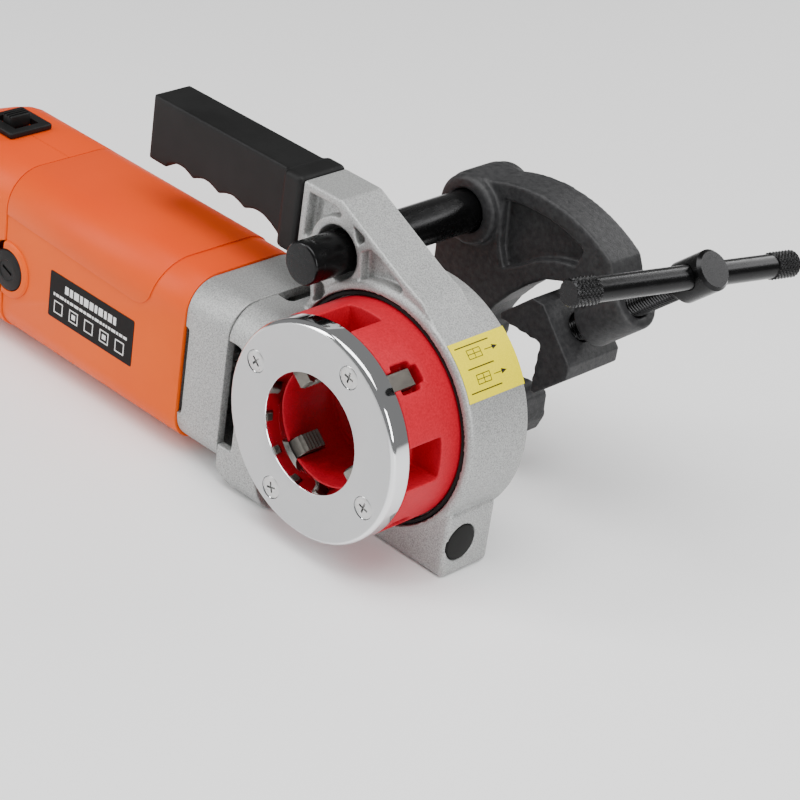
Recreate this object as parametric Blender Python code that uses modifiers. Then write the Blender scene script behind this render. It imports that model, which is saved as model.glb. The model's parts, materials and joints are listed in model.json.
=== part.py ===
"""Portable electric pipe threader: motor, gear head, die head, support arm and vice.

World frame: +Z up, Y along the die axis (the pipe's line), X along the motor.
The origin lies on the base plane, straight below the die axis, at the middle of the head ring.
"""
import math

import bmesh
import bpy
from mathutils import Matrix, Vector

MM = 0.001
GAP = 0.3 * MM

# Driving dimensions: the head and the die it turns
DIE_HEIGHT = 77 * MM
PIPE_R = 24.15 * MM
DIE_R = 63.7 * MM
RING_R = 73 * MM
RING_FRONT, RING_BACK = -20 * MM, 26 * MM
SEAT_Y = -15 * MM
COVER_Y = 20 * MM
PLATE_FRONT, PLATE_BACK = -70 * MM, -57.3 * MM
PLATE_HOLE_R = 34.5 * MM
PLATE_SCREW_R = 51.3 * MM
PLATE_SCREW_ANGLE = math.radians(63.3)
CHASER_ANGLE = math.radians(49)
WINDOW_ANGLE = math.radians(4)
SOCKET_FLAT = 35 * MM

# Gear train, module 2: ring gear, idler, layshaft pinion, then a bevel pair to the motor
MODULE = 2 * MM
RING_TEETH, IDLER_TEETH, PINION_TEETH = 57, 18, 9
WHEEL_TEETH, BEVEL_TEETH = 17, 10
GEAR_FRONT, GEAR_BACK = 2 * MM, 14 * MM
SHAFT_R = 5 * MM
BORE_R = SHAFT_R + GAP
TRAIN_REACH = MODULE * (RING_TEETH + 2 * IDLER_TEETH + PINION_TEETH) / 2

# Motor and its housing
MOTOR_Y, MOTOR_Z = -13 * MM, DIE_HEIGHT - 25 * MM
TRAIN_TILT = math.asin((DIE_HEIGHT - MOTOR_Z) / TRAIN_REACH)
HOUSING_RIGHT, HOUSING_LEFT = -117.3 * MM, -277 * MM
CASE_LEFT, CASE_RIGHT = -117 * MM, -82.3 * MM
SHELL_FRONT, SHELL_BACK = -57.5 * MM, 31.5 * MM
SHELL_LOW, SHELL_HIGH = DIE_HEIGHT - 69.5 * MM, DIE_HEIGHT + 36 * MM
SHELL_MID_Y = (SHELL_FRONT + SHELL_BACK) / 2
SHELL_WALL = 3 * MM
BRUSH_X = -272 * MM
COLLAR_END = -345 * MM
HANDLE_END = -505 * MM
HANDLE_HALF = 19 * MM
WINDOW_TOP, WINDOW_FLOOR = DIE_HEIGHT - 9 * MM, 26 * MM
WINDOW_RIGHT, WINDOW_LEFT = -382 * MM, -480 * MM
LOCK_X, LOCK_Z = -402 * MM, DIE_HEIGHT + 9 * MM
TRIGGER_PIVOT = (-397.5 * MM, DIE_HEIGHT - 3.6 * MM)

# Arm, top grip and foot
COVER_SCREWS = 3
ARM_FRONT, ARM_BACK = -18 * MM, 14 * MM
GRIP_RIGHT, FLANGE_LEFT = -76.3 * MM, -92 * MM
GRIP_MID_Y = -1.5 * MM
GRIP_BOLT_Z = DIE_HEIGHT + 89 * MM
ROD_X, ROD_Z = -45.3 * MM, DIE_HEIGHT + 76.1 * MM
ROD_R, ROD_HOLE_R, ROD_BOSS_R = 12.5 * MM, 15.7 * MM, 20.5 * MM
FOOT_LEFT, FOOT_RIGHT = -14 * MM, 65.3 * MM

# Vice on the support rod
VICE_Y = 105 * MM
VICE_HALF = 13 * MM
SCREW_TILT = math.radians(42)
SCREW_R = 8 * MM
BAR_R = 7 * MM
BAR_RADIUS_AT = 146 * MM
BAR_TURN = math.radians(-9)
BAR_SHIFT = -12 * MM
BAR_LENGTH = 176 * MM
KNURL_R, KNURL_LENGTH = 8 * MM, 18 * MM
VEE_DEPTH, VEE_HALF = 34.5 * MM, 25.7 * MM

ROUND = 40
FLAT = math.radians(0.4)

# Local frames: outlines are drawn in local XY and pushed out along local Z
FACING_Y = Matrix.Rotation(math.radians(90), 4, 'X')
FACING_X = Matrix(((0, 0, 1, 0), (1, 0, 0, 0), (0, 1, 0, 0), (0, 0, 0, 1)))
SCREW_AXIS = Vector((math.cos(SCREW_TILT), 0, math.sin(SCREW_TILT)))
FACING_SCREW = Matrix((
    (-math.sin(SCREW_TILT), 0, math.cos(SCREW_TILT), 0),
    (0, -1, 0, 0),
    (math.cos(SCREW_TILT), 0, math.sin(SCREW_TILT), 0),
    (0, 0, 0, 1),
))


# ---------------------------------------------------------------- scene helpers

def clear_scene():
    for obj in list(bpy.data.objects):
        bpy.data.objects.remove(obj, do_unlink=True)


def new_collection(name):
    collection = bpy.data.collections.new(name)
    bpy.context.scene.collection.children.link(collection)
    return collection


def new_material(name, colour, roughness, metallic):
    material = bpy.data.materials.new(name)
    material.use_nodes = True
    shader = material.node_tree.nodes["Principled BSDF"]
    shader.inputs["Base Color"].default_value = (*colour, 1)
    shader.inputs["Roughness"].default_value = roughness
    shader.inputs["Metallic"].default_value = metallic
    return material


def placed(frame, x=0.0, y=0.0, z=0.0):
    return Matrix.Translation((x, y, z)) @ frame


def on_screw_axis(radius=0.0):
    centre = Vector((0, VICE_Y, DIE_HEIGHT)) + SCREW_AXIS * radius
    return Matrix.Translation(centre) @ FACING_SCREW


def add_object(name, mesh, matrix, material=None):
    obj = bpy.data.objects.new(name, mesh)
    obj.matrix_world = matrix
    PARTS.objects.link(obj)
    if material:
        mesh.materials.append(material)
    mesh.shade_smooth()
    mesh.set_sharp_from_angle(angle=math.radians(32))
    return obj


def as_tool(obj):
    """A cutter, or a solid that is joined into another."""
    PARTS.objects.unlink(obj)
    TOOLS.objects.link(obj)
    obj.hide_render = True
    obj.display_type = 'WIRE'
    return obj


def boolean(obj, tool, operation='DIFFERENCE'):
    step = obj.modifiers.new(operation.title() + " " + tool.name, 'BOOLEAN')
    step.operation = operation
    step.object = as_tool(tool)
    return obj


def cut(obj, *tools):
    for tool in tools:
        boolean(obj, tool)
    return obj


def join(obj, *tools):
    for tool in tools:
        boolean(obj, tool, 'UNION')
    return obj


def bevel(obj, width, segments=1, angle=40):
    step = obj.modifiers.new("Bevel", 'BEVEL')
    step.width = width
    step.segments = segments
    step.limit_method = 'ANGLE'
    step.angle_limit = math.radians(angle)
    return obj


def merge_flat(obj):
    """Joins flat neighbouring faces, so a round end is one face and a cut leaves no slivers."""
    step = obj.modifiers.new("Merge flat faces", 'DECIMATE')
    step.decimate_type = 'DISSOLVE'
    step.angle_limit = FLAT
    return obj


# ---------------------------------------------------------------- outlines

def arc(centre, radius, start, end, steps):
    """Points along an arc, angles in degrees."""
    points = []
    for i in range(steps + 1):
        angle = math.radians(start + (end - start) * i / steps)
        points.append((centre[0] + radius * math.cos(angle), centre[1] + radius * math.sin(angle)))
    return points


def circle(radius, steps=ROUND, centre=(0, 0)):
    return arc(centre, radius, 0, 360 * (steps - 1) / steps, steps - 1)


def rounded_box(x0, x1, y0, y1, radii, steps=5):
    """Rounded rectangle; radii at the corners (x1,y1), (x0,y1), (x0,y0), (x1,y0)."""
    corners = [(x1, y1, 0), (x0, y1, 90), (x0, y0, 180), (x1, y0, 270)]
    points = []
    for (x, y, turn), radius in zip(corners, radii):
        centre_x = x - radius if x == x1 else x + radius
        centre_y = y - radius if y == y1 else y + radius
        points += arc((centre_x, centre_y), radius, turn, turn + 90, steps)
    return points


def polygon(across_flat, sides, turn=0.0):
    radius = across_flat / math.cos(math.pi / sides)
    step = 2 * math.pi / sides
    return [(radius * math.cos(turn + step * i), radius * math.sin(turn + step * i)) for i in range(sides)]


def mm_points(*points):
    return [(x * MM, y * MM) for x, y in points]


def toothed(teeth, pitch_r, addendum, dedendum, tooth_angle=0.0, fill=0.44):
    """Gear outline with straight flanks; one tooth is centred on tooth_angle."""
    pitch = 2 * math.pi / teeth
    half_pitch_line = pitch * fill / 2
    half_root = half_pitch_line + pitch * 0.08
    half_tip = half_pitch_line - pitch * 0.10
    root_r = pitch_r - dedendum
    tip_r = pitch_r + addendum
    points = []
    for i in range(teeth):
        middle = tooth_angle + i * pitch
        for radius, offset in ((root_r, -half_root), (tip_r, -half_tip), (tip_r, half_tip),
                               (root_r, half_root)):
            points.append((radius * math.cos(middle + offset), radius * math.sin(middle + offset)))
    return points


# ---------------------------------------------------------------- solids

def slab(name, loops, thickness, matrix, material=None):
    """Flat outlines, the first outside and the rest holes, given a thickness about local Z = 0."""
    curve = bpy.data.curves.new(name, 'CURVE')
    curve.dimensions = '2D'
    curve.fill_mode = 'BOTH'
    curve.extrude = thickness / 2
    for loop in loops:
        spline = curve.splines.new('POLY')
        spline.points.add(len(loop) - 1)
        for point, (x, y) in zip(spline.points, loop):
            point.co = (x, y, 0, 1)
        spline.use_cyclic_u = True
    guide = bpy.data.objects.new(name + "_outline", curve)
    PARTS.objects.link(guide)
    bpy.context.view_layer.update()
    evaluated = guide.evaluated_get(bpy.context.evaluated_depsgraph_get())
    mesh = bpy.data.meshes.new_from_object(evaluated)
    bpy.data.objects.remove(guide, do_unlink=True)
    bm = bmesh.new()
    bm.from_mesh(mesh)
    bmesh.ops.remove_doubles(bm, verts=bm.verts, dist=0.002 * MM)
    bmesh.ops.dissolve_limit(bm, angle_limit=FLAT, verts=bm.verts, edges=bm.edges)
    bmesh.ops.recalc_face_normals(bm, faces=bm.faces)
    bm.to_mesh(mesh)
    bm.free()
    mesh.name = name
    return add_object(name, mesh, matrix, material)


def slab_y(name, loops, front, back, material=None, x=0.0, z=DIE_HEIGHT):
    """An XZ outline about (x, z), from y = front to y = back."""
    return slab(name, loops, back - front, placed(FACING_Y, x, (front + back) / 2, z), material)


def slab_x(name, loops, left, right, material=None, y=0.0, z=0.0):
    """A YZ outline about (y, z), from x = left to x = right."""
    return slab(name, loops, right - left, placed(FACING_X, (left + right) / 2, y, z), material)


def turned(name, profile, matrix, material=None, steps=ROUND):
    """A profile of (radius, height) turned about local Z, its outer side running from top to bottom."""
    bm = bmesh.new()
    verts = [bm.verts.new((radius, 0, height)) for radius, height in profile]
    for a, b in zip(verts, verts[1:]):
        bm.edges.new((a, b))
    touches_axis = profile[0][0] == 0 and profile[-1][0] == 0
    if not touches_axis:
        bm.edges.new((verts[-1], verts[0]))
    mesh = bpy.data.meshes.new(name)
    bm.to_mesh(mesh)
    bm.free()
    obj = add_object(name, mesh, matrix, material)
    screw = obj.modifiers.new("Turn", 'SCREW')
    screw.steps = steps
    screw.render_steps = steps
    screw.use_merge_vertices = True
    screw.merge_threshold = 0.005 * MM
    screw.use_smooth_shade = False
    return merge_flat(obj)


def turned_y(name, profile, material=None, x=0.0, z=DIE_HEIGHT, steps=ROUND):
    """Profile of (radius, y), outer side from front to back, about a line along Y."""
    flipped = [(radius, -y) for radius, y in profile]
    return turned(name, flipped, placed(FACING_Y, x, 0, z), material, steps)


def turned_x(name, profile, material=None, y=MOTOR_Y, z=MOTOR_Z, steps=ROUND):
    """Profile of (radius, x), outer side from right to left, about a line along X."""
    return turned(name, profile, placed(FACING_X, 0, y, z), material, steps)


def ring_profile(outer, inner, near, far):
    return [(outer, near), (outer, far), (inner, far), (inner, near)]


def rod_profile(radius, near, far, chamfer=0.0):
    if chamfer == 0:
        return [(0, near), (radius, near), (radius, far), (0, far)]
    step = chamfer if far > near else -chamfer
    return [(0, near), (radius - chamfer, near), (radius, near + step),
            (radius, far - step), (radius - chamfer, far), (0, far)]


def block(name, x0, x1, y0, y1, z0, z1, material=None, frame=None):
    """A box between two corners, in world axes or in a given local frame."""
    bm = bmesh.new()
    size = Matrix.Diagonal((x1 - x0, y1 - y0, z1 - z0, 1))
    centre = Vector(((x0 + x1) / 2, (y0 + y1) / 2, (z0 + z1) / 2))
    if frame:
        bmesh.ops.create_cube(bm, size=1, matrix=Matrix.Translation(centre) @ size)
        matrix = frame
    else:
        bmesh.ops.create_cube(bm, size=1, matrix=size)
        matrix = Matrix.Translation(centre)
    mesh = bpy.data.meshes.new(name)
    bm.to_mesh(mesh)
    bm.free()
    return add_object(name, mesh, matrix, material)


def loft(name, rings, matrix, material=None):
    """A closed solid through rings of equally many points (x, y, z)."""
    bm = bmesh.new()
    rows = [[bm.verts.new(point) for point in ring] for ring in rings]
    count = len(rows[0])
    for row, following in zip(rows, rows[1:]):
        for i in range(count):
            j = (i + 1) % count
            bm.faces.new((row[i], row[j], following[j], following[i]))
    bm.faces.new(rows[0])
    bm.faces.new(rows[-1])
    bmesh.ops.recalc_face_normals(bm, faces=bm.faces)
    mesh = bpy.data.meshes.new(name)
    bm.to_mesh(mesh)
    bm.free()
    return add_object(name, mesh, matrix, material)


# ---------------------------------------------------------------- the head

def head_arm():
    """The upper arm of the head, from the grip seat down to the ring, with its rod hole and pockets."""
    outline = mm_points((-76, 107), (-76, 70), (-66, 57), (-61.5, 45), (-60, 30), (-30, 30),
                        (20, 40), (36, 62.5), (21, 75), (5, 81.5), (-47, 107))
    arm = slab_y("head_arm", [outline], ARM_FRONT, ARM_BACK)
    return bevel(arm, 1.5 * MM)


def arm_cutters():
    """Shallow casting pockets around the rod boss, and the hole for the support rod."""
    boss_x, boss_z = ROD_X, ROD_Z - DIE_HEIGHT
    upper_pocket = mm_points((-71, 102), (-71, 75), (-67.5, 76))
    upper_pocket += arc((boss_x, boss_z), ROD_BOSS_R, 172, 94, 6)
    upper_pocket += mm_points((-45, 99), (-50, 102))
    small_pocket = mm_points((-36, 97), (-32, 88), (-29.5, 87), (-26, 91), (-26, 93))
    long_pocket = mm_points((-27, 84), (-25.5, 67)) + arc((0, 0), 73.4, 107, 86, 4)
    long_pocket += mm_points((6, 76), (0, 80), (-16, 87.5), (-21, 88))
    leg_pocket = mm_points((-58.5, 54), (-57, 40), (-55.5, 41.5), (-50, 46), (-48, 51), (-53, 53.5))
    cutters = []
    for name, outline in (("upper_pocket", upper_pocket), ("small_pocket", small_pocket),
                          ("long_pocket", long_pocket), ("leg_pocket", leg_pocket)):
        cutters.append(slab_y(name, [outline], ARM_FRONT - 5 * MM, ARM_FRONT + 7 * MM))
    cutters.append(turned_y("rod_hole", rod_profile(ROD_HOLE_R, ARM_FRONT - 5 * MM, ARM_BACK + 5 * MM),
                            x=ROD_X, z=ROD_Z))
    return cutters


def case_section(inset=0.0, radius=20 * MM):
    """Cross-section of the gear case in the YZ plane."""
    corner = max(radius - inset, 2 * MM)
    return rounded_box(SHELL_FRONT + inset, SHELL_BACK - inset, SHELL_LOW + inset, SHELL_HIGH - inset,
                       [corner] * 4)


def gear_block():
    """The head's left block: it reaches forward past the die and rests on the base plane."""
    outline = mm_points((-81.7, 45), (-81.7, -66), (-62, -82), (-38, -82), (-50, -60), (-45, -45), (-20, 0),
                        (-30, 45))
    body = slab_y("gear_block", [outline], SHELL_FRONT - 5 * MM, RING_BACK + 5 * MM)
    section = rounded_box(SHELL_FRONT + MM, RING_BACK, 0, SHELL_HIGH - MM,
                          [12 * MM, 20 * MM, 9 * MM, 6 * MM])
    boolean(body, slab_x("gear_block_section", [section], -95 * MM, -10 * MM), 'INTERSECT')
    cavity = block("gear_block_cavity", -90 * MM, -73 * MM, -51 * MM, 19 * MM,
                   DIE_HEIGHT - 60 * MM, DIE_HEIGHT + 28 * MM)
    return cut(body, cavity)


def idler_centre():
    reach = MODULE * (RING_TEETH + IDLER_TEETH) / 2
    return -reach * math.cos(TRAIN_TILT), -reach * math.sin(TRAIN_TILT)


def layshaft_centre():
    reach = MODULE * (RING_TEETH + 2 * IDLER_TEETH + PINION_TEETH) / 2
    return -reach * math.cos(TRAIN_TILT), -reach * math.sin(TRAIN_TILT)


def head_casting(aluminium):
    """Ring, arm, foot and gear block in one casting, bored for the rotor, the die and the gears."""
    lip = 2.5 * MM
    profile = [(0, RING_FRONT), (RING_R - lip, RING_FRONT), (RING_R, RING_FRONT + lip),
               (RING_R, RING_BACK - MM), (RING_R - MM, RING_BACK), (0, RING_BACK)]
    casting = turned_y("head_casting", profile, aluminium, steps=60)
    foot = block("foot", FOOT_LEFT, FOOT_RIGHT, RING_FRONT + 0.5 * MM, 18 * MM, 0, DIE_HEIGHT - 36 * MM)
    join(casting, bevel(foot, 2 * MM), gear_block(), head_arm())
    bore = [(DIE_R + 3.8 * MM, -80 * MM), (DIE_R + 3.8 * MM, SEAT_Y), (56.3 * MM, SEAT_Y), (56.3 * MM, -MM),
            (60.5 * MM, -MM), (60.5 * MM, COVER_Y), (67.9 * MM, COVER_Y), (67.9 * MM, 35 * MM)]
    cut(casting, turned_y("head_bore", [(0, -80 * MM)] + bore + [(0, 35 * MM)], steps=60))
    cut(casting, *arm_cutters())
    idler_x, idler_z = idler_centre()
    cut(casting, turned_y("idler_room", rod_profile(20.8 * MM, -MM, 19.4 * MM), x=idler_x,
                          z=DIE_HEIGHT + idler_z))
    cut(casting, turned_y("idler_pin_hole", rod_profile(4.3 * MM, -9 * MM, 35 * MM),
                          x=idler_x, z=DIE_HEIGHT + idler_z, steps=16))
    front_vent = block("front_vent", -83 * MM, -70.5 * MM, -60 * MM, -43 * MM, DIE_HEIGHT - 52 * MM,
                       DIE_HEIGHT + 15 * MM)
    top_vent = block("top_vent", -83 * MM, -70.5 * MM, -22 * MM, 8 * MM, DIE_HEIGHT + 22 * MM,
                     DIE_HEIGHT + 40 * MM)
    cut(casting, bevel(front_vent, 3 * MM), bevel(top_vent, 3 * MM))
    plug_hole = turned_x("plug_hole", rod_profile(11.3 * MM, 70 * MM, 59 * MM), y=-7 * MM, z=20 * MM,
                         steps=24)
    bolt_hole = turned_x("bolt_hole", rod_profile(4.4 * MM, -72.5 * MM, -80 * MM), y=GRIP_MID_Y,
                         z=GRIP_BOLT_Z, steps=16)
    return merge_flat(cut(casting, plug_hole, bolt_hole))


def head_parts(mats):
    head_casting(mats["aluminium"])
    turned_x("foot_plug", rod_profile(11 * MM, 65.9 * MM, 59.4 * MM, 0.8 * MM), mats["rubber"],
             y=-7 * MM, z=20 * MM, steps=24)
    turned_y("front_seal", ring_profile(67.2 * MM, 64.3 * MM, -19 * MM, SEAT_Y - GAP), mats["rubber"])
    cover = turned_y("back_cover", [(66.6 * MM, COVER_Y + GAP), (67.6 * MM, COVER_Y + 1.3 * MM),
                                    (67.6 * MM, RING_BACK - MM), (66.6 * MM, RING_BACK),
                                    (45.3 * MM, RING_BACK),
                                    (45.3 * MM, COVER_Y + GAP)], mats["aluminium"])
    for i in range(COVER_SCREWS):
        x, z = cover_screw_place(i)
        cut(cover, turned_y(f"cover_screw_hole_{i + 1}", rod_profile(2.8 * MM, COVER_Y - 5 * MM, 35 * MM),
                            x=x, z=z, steps=12))
        profile = [(0, COVER_Y + 0.6 * MM), (2.5 * MM, COVER_Y + 0.6 * MM), (2.5 * MM, RING_BACK + GAP),
                   (4.6 * MM, RING_BACK + GAP), (4.2 * MM, RING_BACK + 2.4 * MM), (0, RING_BACK + 2.6 * MM)]
        turned_y(f"cover_screw_{i + 1}", profile, mats["steel"], x=x, z=z, steps=12)
    idler_x, idler_z = idler_centre()
    turned_y("idler_pin", rod_profile(4 * MM, -8.5 * MM, 25.5 * MM, 0.6 * MM), mats["steel"],
             x=idler_x, z=DIE_HEIGHT + idler_z, steps=16)


def cover_screw_place(index):
    angle = 2 * math.pi * (index + 0.25) / COVER_SCREWS
    return 56 * MM * math.cos(angle), DIE_HEIGHT + 56 * MM * math.sin(angle)


# ---------------------------------------------------------------- the turning group

def drive_ring(mats):
    """The rotor: ring gear outside, octagonal socket for the die inside."""
    socket = polygon(SOCKET_FLAT + 0.4 * MM, 8, math.radians(22.5))
    body = slab_y("drive_ring", [circle(54.4 * MM), socket], -12 * MM, GEAR_BACK + MM, mats["steel"])
    addendum, dedendum = 0.8 * MODULE, 1.1 * MODULE
    teeth = toothed(RING_TEETH, MODULE * RING_TEETH / 2, addendum, dedendum, math.pi + TRAIN_TILT)
    join(body, slab_y("ring_teeth", [teeth, circle(50 * MM)], GEAR_FRONT, GEAR_BACK))
    join(body, turned_y("rear_journal", ring_profile(45 * MM, 32 * MM, GEAR_BACK, 25.4 * MM)))
    return merge_flat(body)


def die_head(mats):
    """The exchangeable die: drum with four chaser slots and four chip windows, and its octagonal drive."""
    back_of_drum = SEAT_Y - 0.6 * MM
    drum = slab_y("die_body", [circle(DIE_R, 48), circle(34 * MM)], PLATE_BACK + GAP, back_of_drum,
                  mats["red"])
    drive = slab_y("die_drive", [polygon(SOCKET_FLAT, 8, math.radians(22.5)), circle(31 * MM, 32)],
                   back_of_drum - 3 * MM, 10 * MM)
    floor = slab_y("die_floor", [circle(40 * MM), circle(31 * MM, 32)], back_of_drum - 3.4 * MM,
                   back_of_drum - 0.3 * MM)
    join(drum, floor, drive)
    for i in range(4):
        turn = Matrix.Rotation(-(CHASER_ANGLE + i * math.pi / 2), 4, 'Y')
        place = Matrix.Translation((0, 0, DIE_HEIGHT)) @ turn
        slot = block(f"chaser_slot_{i + 1}", 20 * MM, 70 * MM, -60 * MM, -35 * MM, -5.3 * MM, 5.3 * MM,
                     frame=place)
        cut(drum, slot)
        turn = Matrix.Rotation(-(WINDOW_ANGLE + i * math.pi / 2), 4, 'Y')
        place = Matrix.Translation((0, 0, DIE_HEIGHT)) @ turn
        window = block(f"chip_window_{i + 1}", 42 * MM, 80 * MM, -60 * MM, -33 * MM, -12.5 * MM, 12.5 * MM,
                       frame=place)
        cut(drum, window)
    for i in range(4):
        turn = Matrix.Rotation(-(CHASER_ANGLE + i * math.pi / 2), 4, 'Y')
        place = Matrix.Translation((0, 0, DIE_HEIGHT)) @ turn
        outline = mm_points((PIPE_R / MM + 0.4, -56.4), (60.5, -56.4), (60.5, -39), (PIPE_R / MM + 2.5, -39),
                            (PIPE_R / MM + 0.4, -50))
        slab(f"chaser_{i + 1}", [outline], 10 * MM, place, mats["dark_steel"])


def plate_screw_place(index):
    angle = PLATE_SCREW_ANGLE + index * math.pi / 2
    return PLATE_SCREW_R * math.cos(angle), DIE_HEIGHT + PLATE_SCREW_R * math.sin(angle)


def cover_plate(mats):
    """Chromed front plate and its four countersunk screws."""
    profile = [(61.7 * MM, PLATE_FRONT), (DIE_R, PLATE_FRONT + 2 * MM), (DIE_R, PLATE_BACK),
               (PLATE_HOLE_R, PLATE_BACK), (PLATE_HOLE_R, PLATE_FRONT + MM), (PLATE_HOLE_R + MM, PLATE_FRONT)]
    plate = turned_y("cover_plate", profile, mats["chrome"], steps=48)
    for i in range(4):
        x, z = plate_screw_place(i)
        hole = [(0, PLATE_FRONT - MM), (6.8 * MM, PLATE_FRONT - MM), (6.8 * MM, PLATE_FRONT + 0.6 * MM),
                (3.4 * MM, PLATE_FRONT + 4 * MM), (3.4 * MM, PLATE_BACK + MM), (0, PLATE_BACK + MM)]
        cut(plate, turned_y(f"plate_screw_hole_{i + 1}", hole, x=x, z=z, steps=14))
        screw = [(0, PLATE_FRONT + 0.2 * MM), (6.4 * MM, PLATE_FRONT + 0.2 * MM),
                 (6.4 * MM, PLATE_FRONT + 0.6 * MM),
                 (3 * MM, PLATE_FRONT + 4 * MM), (3 * MM, PLATE_BACK - 0.4 * MM), (0, PLATE_BACK - 0.4 * MM)]
        turned_y(f"plate_screw_{i + 1}", screw, mats["steel"], x=x, z=z, steps=14)


# ---------------------------------------------------------------- gears and motor

def cone_gear(name, teeth, pitch_r, apex_distance, addendum, dedendum, tooth_angle, matrix, material,
              hub=0.0):
    """Bevel gear whose teeth run toward an apex at the frame's origin; the large end is at +apex_distance."""
    outline = toothed(teeth, pitch_r, addendum, dedendum, tooth_angle, 0.38)
    shrink = 0.66
    large = [(x, y, apex_distance) for x, y in outline]
    small = [(x * shrink, y * shrink, apex_distance * shrink) for x, y in outline]
    rings = [small, large]
    if hub:
        back = apex_distance + hub
        rings.append([(x, y, back) for x, y in outline])
    gear = loft(name, rings, matrix, material)
    bore = turned(name + "_bore", [(0, 40 * MM), (BORE_R, 40 * MM), (BORE_R, -5 * MM), (0, -5 * MM)],
                  matrix, steps=24)
    return cut(gear, bore)


def gear_train(mats):
    lay_x, lay_z = layshaft_centre()
    idler_x, idler_z = idler_centre()
    toward_head = TRAIN_TILT
    toward_motor = math.pi + TRAIN_TILT
    addendum, dedendum = 0.8 * MODULE, 1.1 * MODULE
    idler_step = math.pi / IDLER_TEETH
    idler_outline = toothed(IDLER_TEETH, MODULE * IDLER_TEETH / 2, addendum, dedendum,
                            toward_head + idler_step)
    slab_y("idler_gear", [idler_outline, circle(4.3 * MM, 20)], GEAR_FRONT, GEAR_BACK, mats["steel"],
           x=idler_x, z=DIE_HEIGHT + idler_z)
    pinion_outline = toothed(PINION_TEETH, MODULE * PINION_TEETH / 2, addendum, dedendum, toward_head)
    slab_y("layshaft_pinion", [pinion_outline, circle(BORE_R, 20)], GEAR_FRONT, GEAR_BACK, mats["steel"],
           x=lay_x, z=DIE_HEIGHT + lay_z)
    turned_y("layshaft", rod_profile(SHAFT_R, -47 * MM, 23 * MM, 0.6 * MM), mats["steel"],
             x=lay_x, z=DIE_HEIGHT + lay_z, steps=20)
    wheel_r, bevel_r = MODULE * WHEEL_TEETH / 2, MODULE * BEVEL_TEETH / 2
    apex = Matrix.Translation((lay_x, MOTOR_Y, MOTOR_Z))
    back_facing = Matrix.Rotation(math.radians(-90), 4, 'X')
    cone_gear("bevel_wheel", WHEEL_TEETH, wheel_r, bevel_r, 1.8 * MM, 2.6 * MM, toward_motor - TRAIN_TILT,
              apex @ back_facing, mats["steel"], hub=3 * MM)
    left_facing = Matrix(((0, 0, -1, 0), (1, 0, 0, 0), (0, -1, 0, 0), (0, 0, 0, 1)))
    cone_gear("bevel_pinion", BEVEL_TEETH, bevel_r, wheel_r, 1.2 * MM, 1.5 * MM, math.pi / BEVEL_TEETH,
              apex @ left_facing, mats["steel"])
    for name, front in (("layshaft_bearing_front", -48 * MM), ("layshaft_bearing_rear", 15 * MM)):
        turned_y(name, ring_profile(9.4 * MM, BORE_R, front, front + 7 * MM), mats["steel"],
                 x=lay_x, z=DIE_HEIGHT + lay_z, steps=24)


def gear_case(mats):
    """Open-ended case between the motor and the head, with bosses for the layshaft's bearings."""
    tube = slab_x("gear_case", [case_section(MM), case_section(7 * MM)], CASE_LEFT, CASE_RIGHT,
                  mats["aluminium"])
    lay_x, lay_z = layshaft_centre()
    place = {"x": lay_x, "z": DIE_HEIGHT + lay_z, "steps": 32}
    join(tube, turned_y("front_boss", rod_profile(12.5 * MM, -53 * MM, -40.5 * MM), **place))
    join(tube, turned_y("rear_boss", rod_profile(12.5 * MM, 14.5 * MM, 27 * MM), **place))
    cut(tube, turned_y("front_bearing_seat", rod_profile(9.7 * MM, -48.4 * MM, -30 * MM), **place))
    cut(tube, turned_y("rear_bearing_seat", rod_profile(9.7 * MM, 10 * MM, 24 * MM), **place))
    outlet = block("air_outlet", -120 * MM, -113.3 * MM, -65 * MM, -50 * MM, DIE_HEIGHT - 48 * MM,
                   DIE_HEIGHT + 8 * MM)
    return merge_flat(cut(tube, bevel(outlet, 2 * MM)))


def armature(mats):
    turned_x("armature_shaft", rod_profile(SHAFT_R, -106 * MM, -297 * MM, 0.6 * MM), mats["steel"], steps=20)
    slots = toothed(12, 22 * MM, 2 * MM, 5 * MM, 0, 0.7)
    slab_x("armature_core", [slots, circle(BORE_R, 20)], -215 * MM, -158 * MM, mats["dark_steel"], MOTOR_Y,
           MOTOR_Z)
    bars = toothed(24, 13.6 * MM, 0.4 * MM, 0.6 * MM, 0, 0.7)
    slab_x("commutator", [bars, circle(BORE_R, 20)], -282 * MM, -262 * MM, mats["brass"], MOTOR_Y, MOTOR_Z)
    blades = toothed(9, 25 * MM, 10 * MM, 13 * MM, 0, 0.26)
    fan = slab_x("cooling_fan", [blades, circle(BORE_R, 20)], -141 * MM, -131 * MM, mats["black"], MOTOR_Y,
                 MOTOR_Z)
    join(fan, slab_x("fan_disc", [circle(34 * MM, 36), circle(8 * MM, 20)], -143 * MM, -140.5 * MM,
                     y=MOTOR_Y, z=MOTOR_Z))


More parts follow.
